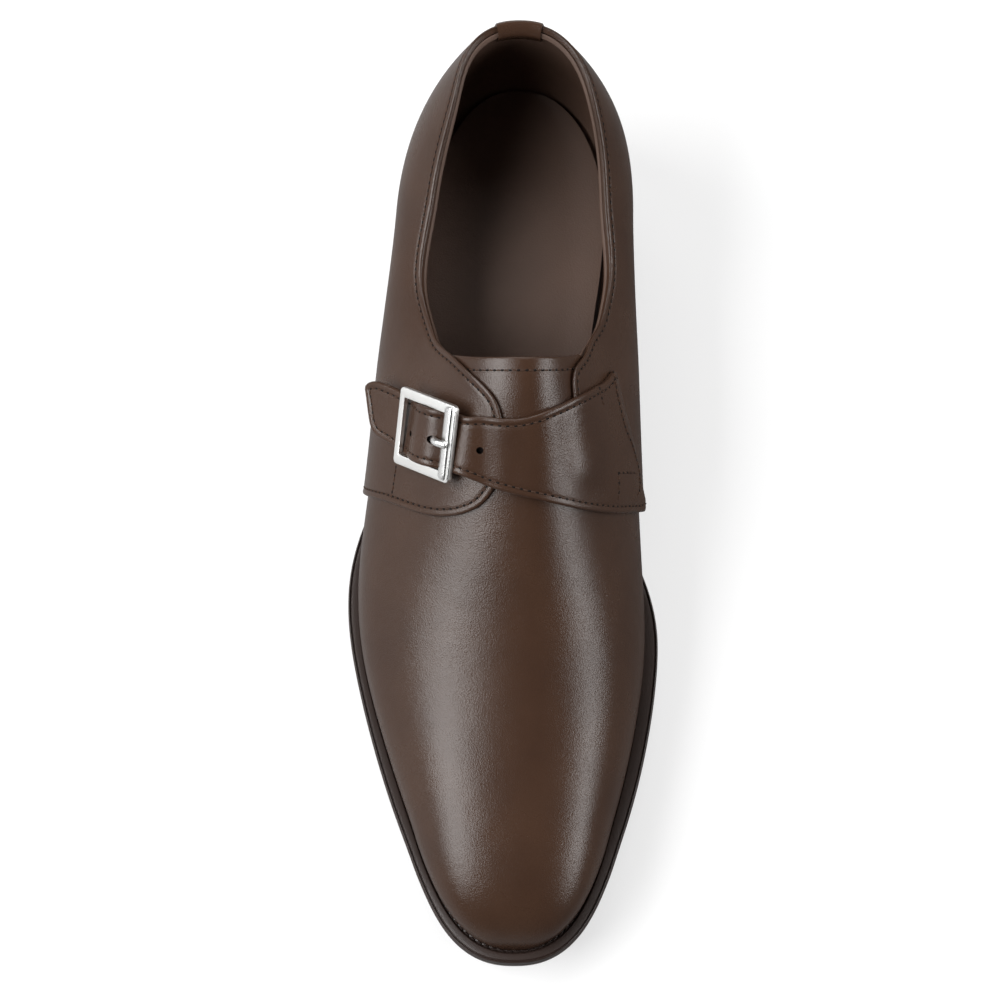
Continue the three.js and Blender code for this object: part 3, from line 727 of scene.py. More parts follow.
def heel_tab_piece(material):
    """The pull tab's leather, folded over the collar at the back seam."""
    rows = []
    for x in np.linspace(-HEEL_TAB["half"], HEEL_TAB["half"], HEEL_TAB["columns"]):
        shorter = 1 - HEEL_TAB["shorter_sides"] * (x / HEEL_TAB["half"]) ** 2
        row = []
        for height, rise in HEEL_TAB_FACE + HEEL_TAB_BACK:
            share = shorter if rise < HEEL_TAB["shortened_below"] else 1
            row.append(tab_place(x, height, rise * share))
        rows.append(row)
    rows = np.array(rows)
    count, columns = rows.shape[:2]
    split = len(HEEL_TAB_FACE)
    faces = sheet_faces(count, columns, range(split), range(columns - 1, split - 1, -1))
    piece = new_piece("heel_tab", rows, faces)
    return finish(piece, material, angle=40)


# ---------------------------------------------------------------- buckle axes
# u runs across towards the inner side, v along the bars towards the heel, n outwards.
BUCKLE = {
    "t": 137, "g": -0.324, "lift": 6.2, "turn": math.radians(9), "width": 25.6, "height": 25.8,
    "thick": 1.8, "side_bar": 2.2, "end_bar": 3.3, "corner": 1.6,
}


def buckle_axes():
    """The buckle's centre over the last, and its three directions."""
    place = np.array([BUCKLE["t"]], float), np.array([BUCKLE["g"]])
    n = last_normal(*place)[0]
    u = np.array([math.cos(BUCKLE["turn"]), -math.sin(BUCKLE["turn"]), 0])
    u = unit(u - n * u.dot(n))
    return last_point(*place)[0] + n * BUCKLE["lift"], u, np.cross(n, u), n


BUCKLE_CENTRE, BUCKLE_U, BUCKLE_V, BUCKLE_N = buckle_axes()


def from_axes(points, centre, u, v, n):
    points = np.asarray(points, float)
    return centre + points[..., :1] * u + points[..., 1:2] * v + points[..., 2:3] * n


def on_buckle(points):
    """From the buckle's own millimetres to the last's."""
    return from_axes(points, BUCKLE_CENTRE, BUCKLE_U, BUCKLE_V, BUCKLE_N)


# How the plate, the bar and the prong lie against those axes: a turn in their own plane, a lean towards the
# toe and towards the inner side, and a small lift.
PLATE_TURN = math.radians(2.3)
PLATE_LEAN = {"toe": 0.08, "inner": 0.03}
PLATE_LIFT = 0.25


def plate_axes():
    """The tilted plate's centre over the last, and its three directions."""
    n = unit(BUCKLE_N + BUCKLE_U * PLATE_LEAN["inner"] - BUCKLE_V * PLATE_LEAN["toe"])
    u = BUCKLE_U * math.cos(PLATE_TURN) - BUCKLE_V * math.sin(PLATE_TURN)
    u = unit(u - n * u.dot(n))
    return BUCKLE_CENTRE + n * PLATE_LIFT, u, np.cross(n, u), n


PLATE_CENTRE, PLATE_U, PLATE_V, PLATE_N = plate_axes()


def on_plate(points):
    """From the tilted plate's own millimetres to the last's."""
    return from_axes(points, PLATE_CENTRE, PLATE_U, PLATE_V, PLATE_N)


# ---------------------------------------------------------------- strap
STRAP = {
    "thick": 2.0, "on_quarter": 1.85, "on_vamp": 0.3, "skive": 5, "root_thick": 0.3, "row_step": 0.8,
    "control_columns": 7, "middle_columns": 11, "widest_edge": 0.45, "under_rise": 0.3, "under_round": 0.6,
}
# Where the strap steps up from the vamp on to the quarters: in girth on each side, and along t at its front.
STEP_UP = {"outer": (0.05, 0.12), "inner": (0.18, 0.25), "inner_front": 156, "inner_fade": 4}
STRAP_EDGES = table(("heelward", "toeward"), [
    (-0.236, 133.2, 149.9),
    (-0.139, 135.2, 154.4),
    (-0.025, 136.1, 158.2),
    (0.104, 133, 160.2),
    (0.222, 128.5, 161),
    (0.356, 122.8, 160.2),
    (0.515, 115, 157.6),
])
STRAP_ROOT = {"from": 0.515, "to": 0.72, "heelward": (115, 152), "toeward": (157.6, 152.6)}
STRAP_GIRTHS = (
    0.72, 0.66, 0.6, 0.56, 0.515, 0.44, 0.356, 0.29, 0.222, 0.16, 0.104, 0.04, -0.025, -0.08, -0.139,
)
# Past the buckle's inner bar: place across the buckle, height of the underside, and the two edges.
STRAP_ON_BUCKLE = [
    (12.6, -3.75, 9.1, -9.7), (11, -3.75, 9.1, -9.7), (8.6, -3, 9.1, -9.6), (6, -1.4, 9.2, -9.5),
    (3.6, 0.4, 9.3, -9.4), (1.4, 1, 9.3, -9.4), (-1.4, 1, 9.4, -9.3), (-3.8, 0.1, 9.4, -9.3),
    (-6.4, -1.25, 9.5, -9.2), (-9, -2.7, 9.6, -9.1), (-11.4, -3.3, 9.7, -9.0), (-14, -3.2, 9.9, -8.6),
    (-18, -3, 10.5, -7.4), (-22, -2.7, 10.9, -6.7), (-25, -2.45, 11.1, -5.8), (-27, -2.3, 11.1, -4.2),
    (-28.6, -2.2, 10.9, -1.2), (-30, -2.1, 10.3, 2.4), (-31.2, -2.05, 9.5, 5.6), (-32, -2, 8.6, 7.4),
]
# Rows that hold the strap's root to the inner quarter: (t, g) places and their height over the last.
ROOT_SEAMS = [
    ([(114.6, 0.472), (117.3, 0.477), (123.8, 0.49), (129, 0.509), (133.5, 0.532), (136.5, 0.565),
      (140.4, 0.594), (143.1, 0.612), (148.6, 0.605), (152.3, 0.578)], 4.5),
    ([(123.9, 0.365), (129.2, 0.389)], 3.9),
    ([(147.4, 0.45), (144.7, 0.589)], 3.9),
    ([(147.6, 0.446), (156.5, 0.44)], 3.9),
]
FLAP_SEAM = [(143.9, -0.518), (154, -0.517)]
# The strap's holes: place across and along the buckle, and half sizes the same way.
STRAP_HOLES = {
    "prong": (4.9, -0.5, 1.9, 1.4),
    "outer": (-6.2, -1.2, 1.1, 1.0),
    "inner": (19.1, -0.8, 1.15, 1.15),
}
HOLE = {"depth": 1.6, "sides": 40, "aimed_from": 12.0}


def strap_under(t, g):
    """Height of the strap's underside over the last: on the quarters at both sides, on the vamp between."""
    outer = smooth(-g, *STEP_UP["outer"])
    inner = smooth(g, *STEP_UP["inner"]) * smooth(STEP_UP["inner_front"] - t, 0, STEP_UP["inner_fade"])
    return mix(STRAP["on_vamp"], STRAP["on_quarter"], np.maximum(outer, inner))


def strap_edge(g, name):
    """Where along t the strap's named edge lies at a girth. In the root the two edges draw together."""
    if g <= STRAP_ROOT["from"]:
        return float(STRAP_EDGES[name](g))
    share = (g - STRAP_ROOT["from"]) / (STRAP_ROOT["to"] - STRAP_ROOT["from"])
    return mix(*STRAP_ROOT[name], share)


def strap_control():
    """Coarse rows of the strap's underside, from its root over the last and on through the buckle."""
    count = STRAP["control_columns"]
    across = np.linspace(0, 1, count)
    rows = []
    for g in STRAP_GIRTHS:
        t = mix(strap_edge(g, "heelward"), strap_edge(g, "toeward"), across)
        rows.append(last_point(t, g, strap_under(t, np.full(count, g))))
    for u, under, heelward, toeward in STRAP_ON_BUCKLE:
        v = mix(heelward, toeward, across)
        rows.append(on_buckle(np.stack([np.full(count, u), v, np.full(count, under)], axis=-1)))
    return across, np.array(rows)


def strap_surface():
    """The strap's underside as fine rows, with the same columns near each long edge."""
    across, control = strap_control()
    run = lengths(control[:, 3])
    root_run = run[STRAP_GIRTHS.index(STRAP_ROOT["from"])]
    near = np.array([d for d, _ in TURNED_EDGE])
    rows_at = np.unique(np.concatenate([
        np.arange(0, run[-1] - near[-1], STRAP["row_step"]),
        run[-1] - near,
    ]))
    coarse = spline(run, control)(rows_at)
    middle = np.linspace(0, 1, STRAP["middle_columns"] + 2)[1:-1]
    grid = []
    for row in coarse:
        width = lengths(row)[-1]
        edge = near / max(width, 1e-6)
        if edge[-1] > STRAP["widest_edge"]:
            edge = edge * STRAP["widest_edge"] / edge[-1]
        inner = mix(edge[-1], 1 - edge[-1], middle)
        s = np.concatenate([edge, inner, 1 - edge[::-1]])
        grid.append(spline(across, row)(s))
    return rows_at, np.array(grid), root_run


CHAIN_STEP = 0.15
BATCH = 2000


def nearest(points, chain):
    """Distance from each point to a chain of points."""
    run = lengths(chain)
    fine = interpolate(np.arange(0, run[-1], CHAIN_STEP), run, chain)
    flat = points.reshape(-1, 3)
    best = []
    for first in range(0, len(flat), BATCH):
        part = flat[first:first + BATCH]
        best.append(np.sqrt(((part[:, None] - fine[None]) ** 2).sum(-1).min(axis=1)))
    return np.concatenate(best).reshape(points.shape[:-1])


def strap_shape():
    """The strap's face and underside, its normals, the distance from its turned edge, and its root's rows."""
    rows_at, under, root_run = strap_surface()
    root_rows = rows_at <= root_run
    turned = np.concatenate([under[~root_rows][:, 0], under[-1], under[::-1, -1]])
    from_edge = nearest(under, turned)
    from_root = nearest(under, under[root_rows][:, 0])
    normal = unit(np.cross(np.gradient(under, axis=0), np.gradient(under, axis=1)))
    normal *= np.sign((normal * BUCKLE_N).sum(-1).mean())
    section = np.array(TURNED_EDGE)
    thick = STRAP["thick"] + np.interp(from_edge, section[:, 0], section[:, 1])
    thick = thick * mix(STRAP["root_thick"], 1, smooth(from_root, 0, STRAP["skive"]))
    top = under + normal * thick[..., None]
    rounded = STRAP["under_rise"] * (1 - smooth(from_edge, 0, STRAP["under_round"]))
    bottom = under + normal * rounded[..., None]
    return top, bottom, normal, from_edge, root_rows


def strap_piece(shape, material):
    top, bottom = shape[:2]
    points = np.concatenate([top, bottom[:, ::-1]], axis=1)
    rows, columns = points.shape[:2]
    half = top.shape[1]
    faces = sheet_faces(rows, columns, range(half), range(columns - 1, half - 1, -1))
    piece = new_piece("monk_strap", points, faces)
    piece.data.materials.append(material)
    # Its second material paints the holes' insides dark, as painted shade.
    piece.data.materials.append(PAINTED_HOLE_SHADE)
    for u, v, wide, high in STRAP_HOLES.values():
        cut_hole(piece, u, v, wide, high)
    return finish(piece, None, stands_for=("strap",))


def cut_hole(piece, u, v, wide, high):
    """Punches an oval hole into the strap's face, its walls and floor painted dark as painted shade."""
    above = in_frame(on_buckle(np.array([u, v, HOLE["aimed_from"]])))
    _, place, outward, _ = piece.ray_cast(Vector(above), Vector(-BUCKLE_N))
    towards = np.array(outward)
    across = unit(BUCKLE_U - towards * BUCKLE_U.dot(towards))
    deselect()
    bpy.ops.mesh.primitive_cylinder_add(vertices=HOLE["sides"], radius=1, depth=2)
    punch = bpy.context.object
    # The cut walls and floor take the second material, painted shade.
    for slot in piece.data.materials:
        punch.data.materials.append(slot)
    for face in punch.data.polygons:
        face.material_index = 1
    axes = np.stack([across * wide, np.cross(towards, across) * high, towards * HOLE["depth"]], axis=1)
    punch.data.transform(Matrix.Translation(place) @ Matrix.Scale(MM, 4) @ Matrix(axes.tolist()).to_4x4())
    apply_modifier(piece, "BOOLEAN", operation="DIFFERENCE", solver="MANIFOLD", object=punch)
    bpy.data.objects.remove(punch)


def strap_seams(shape):
    """The seam round the strap, inside its turned edge."""
    top, _, normal, from_edge, root_rows = shape
    sides = []
    for order in (1, -1):
        chain = []
        for i in range(len(top)):
            if order == 1 and root_rows[i]:
                continue
            distance = from_edge[i][::order]
            rise = distance[:np.argmax(distance) + 1]
            if rise[-1] < STITCH_IN:
                continue
            k = np.interp(STITCH_IN, rise, np.arange(len(rise)))
            column = k if order == 1 else len(distance) - 1 - k
            low = int(min(max(column, 0), len(distance) - 2))
            share = column - low
            chain.append(np.concatenate([mix(top[i, low], top[i, low + 1], share), normal[i, low]]))
        sides.append(np.array(chain))
    whole = np.concatenate([sides[0], sides[1][::-1]])
    return [(whole[:, :3], whole[:, 3:])]


# ---------------------------------------------------------------- swept sections round the sole
def outline_places(turn_count, straight_count):
    """Places along t from the back to the tip, closer together round the two ends."""
    turn = np.linspace(0, math.pi / 2, turn_count)
    heel_end = SOLE["back"] + SOLE["heel_round"]
    return np.concatenate([
        SOLE["back"] + SOLE["heel_round"] * (1 - np.cos(turn)),
        np.linspace(heel_end, SOLE["tip"] - SOLE["toe_round"], straight_count)[1:],
        SOLE["tip"] - SOLE["toe_round"] * (1 - np.sin(turn[1:])),
    ])


def outline_normal(t, side):
    """Outward direction of the sole's outline."""
    fine = outline_places(400, 900)
    chain = sole_edge(fine, side)
    tangent = unit(np.gradient(chain, axis=0))
    normal = np.stack([-tangent[:, 1], tangent[:, 0]], axis=-1) * side
    normal[0] = (0, 1)
    normal[-1] = (0, -1)
    run = lengths(chain)
    return unit(interpolate(np.interp(t, fine, run), run, normal))


def sole_stations(first, count):
    """Places along t from a first one to the tip, evenly spaced along the outline."""
    fine = outline_places(300, 600)
    fine = fine[fine >= first]
    run = lengths((sole_edge(fine, -1) * (-1, 1) + sole_edge(fine, 1)) / 2)
    return np.interp(np.linspace(0, run[-1], count), run, fine)


def side_points(t, side, section, level, height):
    """A section swept along one side: (out, up) pairs, up as a share of height over level."""
    edge = sole_edge(t, side)
    normal = outline_normal(t, side)
    flat = edge[:, None] + normal[:, None] * np.array(section)[None, :, :1]
    z = level[:, None] + np.array(section)[None, :, 1] * height
    return np.concatenate([flat, z[..., None]], axis=-1)


OUTSOLE_ROWS = 260
PLATE_COLUMNS = 10
# The outsole's edge from its tread up: distance out, and height as a share of its thickness.
OUTSOLE_SECTION = [
    (-1.2, 0.0), (-0.6, 0.01), (-0.25, 0.06), (-0.05, 0.16), (0.05, 0.34), (0.08, 0.55), (0.04, 0.76),
    (-0.08, 0.9), (-0.3, 0.975), (-0.7, 1.0),
]


def plate(name, t, section, low, height):
    """A closed plate between two swept sides."""
    left = side_points(t, -1, section, low, height)
    right = side_points(t, 1, section, low, height)
    share = np.linspace(0, 1, PLATE_COLUMNS + 2)[1:-1]
    bottom = left[:, None, 0] + (right[:, None, 0] - left[:, None, 0]) * share[None, :, None]
    top = right[:, None, -1] + (left[:, None, -1] - right[:, None, -1]) * share[None, :, None]
    loop = np.concatenate([bottom, right, top, left[:, ::-1]], axis=1)
    rows, columns = loop.shape[:2]
    return new_piece(name, loop, ring_faces(rows, columns))


def outsole_piece(material):
    t = sole_stations(SOLE["back"], OUTSOLE_ROWS)
    piece = plate("outsole_edge", t, OUTSOLE_SECTION, tread(t), SOLE["thick"])
    return finish(piece, material, stands_for=("outsole",))


# The welt starts at a share of its height and has grown to the whole of it some millimetres further on. Past
# a share of its run the places on the upper fall behind those on the sole, so that each ends at its own tip.
WELT = {
    "thick": 2.6, "outer_from": 147, "inner_from": 167, "lift": 0.05, "starts_at": 0.25, "grown_after": 10,
    "toe_from": 0.6, "rows": 230,
}
# The seam in the welt's furrow: distance from the upper's wall and height over the outsole. Its first rows,
# where the welt is still low, carry no stitches.
WELT_SEAM = {"out": 0.42, "up": 1.38, "rows": 400, "bare_rows": 30}
# From the upper's wall outwards: distance from the wall and height over the outsole.
WELT_INNER = [
    (-0.5, 0.0), (-0.5, 1.3), (0.1, 1.2), (0.5, 1.2), (0.8, 1.5), (1.0, 2.0), (1.2, 2.35), (1.5, 2.48),
]
# From the outer edge inwards: distance out and height.
WELT_OUTER = [
    (-1.5, 2.52), (-1.22, 2.48), (-1.05, 2.2), (-0.9, 2.14), (-0.76, 2.3), (-0.62, 2.62), (-0.46, 2.74),
    (-0.3, 2.66), (-0.16, 2.4), (-0.06, 2.0), (-0.03, 1.2), (-0.06, 0.5), (-0.2, 0.14), (-0.5, 0.02),
]


def upper_wall(t, side, level):
    """Where the upper's face meets a height near the feather edge, as x and y."""
    feather, widest, _ = levels(t)
    below = np.clip((widest - level) / np.maximum(widest - feather, GAP), 0, 1)
    g = side * (WIDEST + (1 - WIDEST) * np.arcsin(below) / (math.pi / 2))
    return last_point(t, g)[:, :2]


def welt_loop(side, count):
    """Paired stations of the upper's wall and the sole's outline round the forepart."""
    start = WELT["outer_from" if side < 0 else "inner_from"]
    t = sole_stations(start, count)
    share = (t - start) / (SOLE["tip"] - start)
    wall_t = t - (SOLE["tip"] - TIP) * smooth(share, WELT["toe_from"], 1)
    return t, np.minimum(wall_t, TIP)


def welt_side(side, count):
    """One side of the welt, with the upper's wall beside it, the way out from it, and its base."""
    t, wall_t = welt_loop(side, count)
    base = sole_top(t) + WELT["lift"]
    wall = upper_wall(wall_t, side, sole_top(wall_t) + GAP + WELT["thick"])
    edge = sole_edge(t, side)
    out = unit(edge - wall)
    out[-1] = (0, -1)
    normal = outline_normal(t, side)
    inner = np.array(WELT_INNER)
    outer = np.array(WELT_OUTER)
    flat = np.concatenate([
        wall[:, None] + out[:, None] * inner[None, :, :1],
        edge[:, None] + normal[:, None] * outer[None, :, :1],
    ], axis=1)
    grown = mix(WELT["starts_at"], 1, smooth(t, t[0], t[0] + WELT["grown_after"]))
    up = base[:, None] + grown[:, None] * np.concatenate([inner[:, 1], outer[:, 1]])[None]
    return np.concatenate([flat, up[..., None]], axis=-1), wall, out, base


def welt_piece(material):
    left = welt_side(-1, WELT["rows"])[0]
    right = welt_side(1, WELT["rows"])[0]
    points = np.concatenate([left, right[::-1]])
    piece = new_piece("welt_strip", points, tube_faces(*points.shape[:2]))
    return finish(piece, material, angle=40, stands_for=("welt",))


def welt_seam():
    chains = []
    for side in (-1, 1):
        _, wall, out, base = welt_side(side, WELT_SEAM["rows"])
        flat = wall + out * WELT_SEAM["out"]
        chain = np.concatenate([flat, (base + WELT_SEAM["up"])[:, None]], axis=-1)
        chains.append(chain[WELT_SEAM["bare_rows"]:])
    whole = np.concatenate([chains[0], chains[1][::-1][1:]])
    return [(whole, np.tile((0.0, 0.0, 1.0), (len(whole), 1)))]


# ---------------------------------------------------------------- heel, insole
LIFTS = 4
LIFT_GAP = 0.05
TOP_LIFT_SCALE = 0.995
RUBBER_DRAWN_IN = 0.01
# A heel plate's rows round the back, drawn together there by a power, then its rows along the sides and its
# columns.
HEEL_GRID = {"round_rows": 56, "crowding": 1.25, "side_rows": 16, "columns": 25}
HEEL_BEVEL = 0.35


def heel_block(name, low, high, low_scale, high_scale):
    """A plate of the heel's outline with its front edge hollowed."""
    back, front = SOLE["back"], HEEL["front"]
    straight = back + SOLE["heel_round"]
    turn = np.linspace(0, 1, HEEL_GRID["round_rows"]) ** HEEL_GRID["crowding"] * math.pi / 2
    t = back + (front - back) * (1 - np.cos(turn))
    t = np.unique(np.concatenate([t[t < straight], np.linspace(straight, front, HEEL_GRID["side_rows"])]))
    across = np.linspace(-1, 1, HEEL_GRID["columns"])
    middle = -(back + front) / 2

    def skin(z, scale):
        left = sole_edge(t, -1, scale)[:, 0]
        right = sole_edge(t, 1, scale)[:, 0]
        x = mix(left[:, None], right[:, None], (across[None] + 1) / 2)
        hollow = HEEL["hollow"] * (1 - across[None] ** 2) * smooth(t[:, None], straight, front)
        y = mix(middle, -(t[:, None] - hollow), scale)
        return np.stack([x, y, np.broadcast_to(z(t)[:, None], x.shape)], axis=-1)
    top = skin(high, high_scale)
    bottom = skin(low, low_scale)
    loop = np.concatenate([top, bottom[:, ::-1]], axis=1)
    rows, columns = loop.shape[:2]
    faces = ring_faces(rows, columns)
    last = (rows - 1) * columns
    end = last + columns - 1
    faces += [(last + k, last + k + 1, end - k - 1, end - k) for k in range(len(across) - 1)]
    piece = new_piece(name, loop, faces)
    bevel_corners(piece, HEEL_BEVEL, 3, 40)
    return piece


def heel_lifts(material):
    """The heel's leather lifts, from the rubber up to the outsole, each a little wider than the one below."""
    base = HEEL["top_piece"] + LIFT_GAP

    def level(k):
        return lambda t: base + (tread(t) - LIFT_GAP - base) * k / LIFTS
    for k in range(LIFTS):
        scales = [mix(HEEL["taper"], TOP_LIFT_SCALE, (k + end) / LIFTS) for end in (0, 1)]
        piece = heel_block(f"heel_lift_{k + 1}", level(k), level(k + 1), *scales)
        finish(piece, material, angle=35, stands_for=("heel_stack",) if k == 0 else ())


def heel_top_piece(material):
    """The heel's rubber, flat on the floor and drawn in a little at its foot."""
    def floor_level(t):
        return 0 * t

    def rubber_top(t):
        return 0 * t + HEEL["top_piece"]
    foot_scale = HEEL["taper"] - RUBBER_DRAWN_IN
    piece = heel_block("heel_rubber_piece", floor_level, rubber_top, foot_scale, HEEL["taper"])
    finish(piece, material, angle=35, stands_for=("heel_top_piece",))


# The sock's edge stands up by its crown, from a share of its half width outwards.
INSOLE = {"thick": 3, "inside": 3.55, "rows": 150, "columns": 41, "crown": 0.5, "crown_from": 0.6}


def insole_piece(material):
    """The sock that lies on the insole, closer rows at its ends and closer columns at its sides."""
    t = TIP / 2 * (1 - np.cos(np.linspace(0, math.pi, INSOLE["rows"])))
    across = np.sin(np.linspace(-math.pi / 2, math.pi / 2, INSOLE["columns"]))
    left = last_point(t, -1, -INSOLE["inside"])
    right = last_point(t, 1, -INSOLE["inside"])
    axis = LAST["axis"](t)[:, None]
    outer_half = mix(axis, left[:, None, 0], -across[None])
    inner_half = mix(axis, right[:, None, 0], across[None])
    x = np.where(across[None] < 0, outer_half, inner_half)
    y = np.broadcast_to(left[:, None, 1], x.shape)
    base = (sole_top(t) + GAP)[:, None]
    crown = INSOLE["crown"] * smooth(np.abs(across), INSOLE["crown_from"], 1)[None] + 0 * base
    top = np.stack([x, y, base + INSOLE["thick"] + crown], axis=-1)
    bottom = np.stack([x, y, base + 0 * x], axis=-1)
    loop = np.concatenate([top, bottom[:, ::-1]], axis=1)
    piece = new_piece("sock_lining", loop, ring_faces(*loop.shape[:2]))
    return finish(piece, material, stands_for=("insole",))


# ---------------------------------------------------------------- buckle
def put_on_plate(piece):
    """Moves a mesh made about the origin to the tilted plate's place."""
    axes = Matrix(np.stack([PLATE_U, PLATE_V, PLATE_N], axis=1).tolist()).to_4x4()
    place = Matrix.Translation(Vector((PLATE_CENTRE + SHIFT) * MM))
    piece.data.transform(place @ axes)


def select_faces(piece, test):
    """Selects the faces whose centre and normal pass a test, in edit mode."""
    bpy.ops.object.mode_set(mode="OBJECT")
    for face in piece.data.polygons:
        face.select = test(face.center / MM, face.normal)
    bpy.ops.object.mode_set(mode="EDIT")


# How the plate's corners are told apart: the rise of an upright edge, how far out an outer corner lies at
# least and a window's corner at most, and the width of the outer rim. Then the roundings.
FRAME = {"upright": 0.5, "outer": 12, "window": 10, "rim": 0.1, "window_corner": 0.5, "edge": 0.45}


def buckle_frame_piece(material):
    """A flat plate, its window cut by two insets and a bridge, with rounded corners and edges."""
    deselect()
    bpy.ops.mesh.primitive_cube_add(size=1, location=(0, 0, 0))
    piece = bpy.context.object
    piece.name = "buckle_plate"
    size = Vector((BUCKLE["width"], BUCKLE["height"], BUCKLE["thick"])) * MM
    bpy.ops.object.mode_set(mode="EDIT")
    bpy.ops.mesh.select_mode(type="FACE")
    bpy.ops.mesh.select_all(action="SELECT")
    bpy.ops.transform.resize(value=size)
    select_faces(piece, lambda centre, normal: abs(normal.z) > 0.9)
    bpy.ops.mesh.inset(thickness=BUCKLE["end_bar"] * MM, use_individual=True)
    select_faces(piece, lambda centre, normal: abs(normal.z) > 0.9 and centre.xy.length < 1)
    bpy.ops.mesh.bridge_edge_loops()
    bpy.ops.object.mode_set(mode="OBJECT")
    half = BUCKLE["width"] / 2
    for vertex in piece.data.vertices:
        if (FRAME["rim"] - half) * MM < vertex.co.x < 0:
            vertex.co.x = (BUCKLE["side_bar"] - half) * MM

    def upright(a, b):
        return abs(a.z - b.z) > FRAME["upright"] * MM

    def outer_corner(a, b):
        return upright(a, b) and min(abs(a.x), abs(a.y)) > FRAME["outer"] * MM

    def window_corner(a, b):
        return upright(a, b) and abs(a.y) < FRAME["window"] * MM
    round_edges(piece, outer_corner, BUCKLE["corner"], 8)
    round_edges(piece, window_corner, FRAME["window_corner"], 4)
    bevel_corners(piece, FRAME["edge"], 4, 50)
    put_on_plate(piece)
    return finish(piece, material, angle=35, stands_for=("buckle_frame",))


def round_edges(piece, test, width, segments):
    """Bevels the edges whose two ends pass a test."""
    activate(piece)
    bpy.ops.object.mode_set(mode="EDIT")
    bpy.ops.mesh.select_mode(type="EDGE")
    bpy.ops.mesh.select_all(action="DESELECT")
    bpy.ops.object.mode_set(mode="OBJECT")
    points = piece.data.vertices
    for edge in piece.data.edges:
        edge.select = bool(test(*(points[k].co for k in edge.vertices)))
    bpy.ops.object.mode_set(mode="EDIT")
    bpy.ops.mesh.bevel(offset=width * MM, segments=segments, affect="EDGES")
    bpy.ops.object.mode_set(mode="OBJECT")


# The heavy bar that the prong rests on: across the buckle and height, from its inner edge to its outer one.
BAR_SECTION = [
    (7.9, -0.9), (7.8, -0.2), (7.85, 0.6), (8.05, 1.0), (8.4, 1.22), (9.2, 1.45), (10.1, 1.55), (10.8, 1.48),
    (11.25, 1.25), (11.5, 0.9), (11.62, 0.6), (11.85, 0.6), (12.0, 0.9), (12.2, 1.08), (12.5, 1.08),
    (12.75, 0.85), (12.8, 0.3), (12.8, -0.6), (12.6, -0.9),
]
# Its rounded ends: place along the bar as a share of half its length, and the section's scale there.
BAR_ENDS = [(1.0, 0.42), (0.985, 0.7), (0.955, 0.88), (0.91, 0.97), (0.86, 1.0)]
# Each end of the bar stops this far short of the plate's.
BAR_SHORTER = 0.7


def heavy_bar(material):
    """The bar's section carried along the buckle, its ends drawn in to a round."""
    section = np.array(BAR_SECTION)
    middle = section.mean(axis=0)
    half = BUCKLE["height"] / 2 - BAR_SHORTER
    stations = [(-v, scale) for v, scale in BAR_ENDS] + BAR_ENDS[::-1]
    rows = []
    for v, scale in stations:
        flat = middle + (section - middle) * scale
        rows.append(np.stack([flat[:, 0], np.full(len(flat), v * half), flat[:, 1]], axis=-1))
    rows = on_plate(np.array(rows))
    piece = new_piece("buckle_heavy_bar", rows, tube_faces(*rows.shape[:2]))
    return finish(piece, material, angle=60)


# The prong's route: across the buckle, height, and half its thickness.
PRONG_ROUTE = [
    (1.8, -1.6, 0.95), (3.2, -0.5, 1.0), (4.4, 0.8, 1.1), (5.5, 1.95, 1.2), (6.9, 2.75, 1.25),
    (8.6, 2.9, 1.25), (10.2, 2.7, 1.2), (11.2, 2.6, 1.12), (11.75, 2.56, 0.9), (12.0, 2.54, 0.5),
]
# It is a little wider than it is thick.
PRONG = {"rows": 48, "sides": 24, "wider": 1.05, "thinner": 0.92}


def prong_piece(material):
    """A round pin that tapers to its two ends."""
    knots = np.array(PRONG_ROUTE)
    run = lengths(knots)
    fine = spline(run, knots)(np.linspace(0, run[-1], PRONG["rows"]))
    along = unit(np.gradient(fine[:, :2], axis=0))
    around = np.linspace(0, 2 * math.pi, PRONG["sides"] + 1)[:-1]
    rows = []
    for (u, n, radius), (du, dn) in zip(fine, along):
        side = np.cos(around) * radius * PRONG["wider"]
        up = np.sin(around) * radius * PRONG["thinner"]
        rows.append(np.stack([u - dn * up, side, n + du * up], axis=-1))
    rows = on_plate(np.array(rows))
    piece = new_piece("buckle_prong_pin", rows, tube_faces(*rows.shape[:2]))
    return finish(piece, material, angle=60, stands_for=("buckle_prong",))


# ---------------------------------------------------------------- shader groups
def node_group(name, inputs, outputs):
    """A new group with its sockets, its input node and its output node."""
    group = bpy.data.node_groups.new(name, "ShaderNodeTree")
    for label, kind, value in inputs:
        socket = group.interface.new_socket(label, in_out="INPUT", socket_type=kind)
        if value is not None:
            socket.default_value = value
    for label, kind in outputs:
        group.interface.new_socket(label, in_out="OUTPUT", socket_type=kind)
    return group, group.nodes.new("NodeGroupInput"), group.nodes.new("NodeGroupOutput")


def node(tree, kind, links=None, **settings):
    """Adds a node, sets its properties and socket values, and links the given sockets into it."""
    made = tree.nodes.new(kind)
    for key, value in settings.items():
        setattr(made, key, value)
    for key, value in (links or {}).items():
        socket = made.inputs[key]
        if isinstance(value, bpy.types.NodeSocket):
            tree.links.new(value, socket)
        else:
            socket.default_value = value
    return made


def maths(tree, operation, a, b=0.0, clamp=False):
    return node(tree, "ShaderNodeMath", {0: a, 1: b}, operation=operation, use_clamp=clamp).outputs[0]


def noise(tree, place, scale, detail=2.0, rough=0.5):
    made = node(tree, "ShaderNodeTexNoise", {
        "Vector": place, "Scale": scale, "Detail": detail, "Roughness": rough})
    return made.outputs["Fac"]


def own_place(tree):
    return node(tree, "ShaderNodeTexCoord").outputs["Object"]


def spread(tree, value, low, high):
    """A value from 0 to 1 spread from low to high."""
    return node(tree, "ShaderNodeMapRange", {"Value": value, "To Min": low, "To Max": high}).outputs[0]


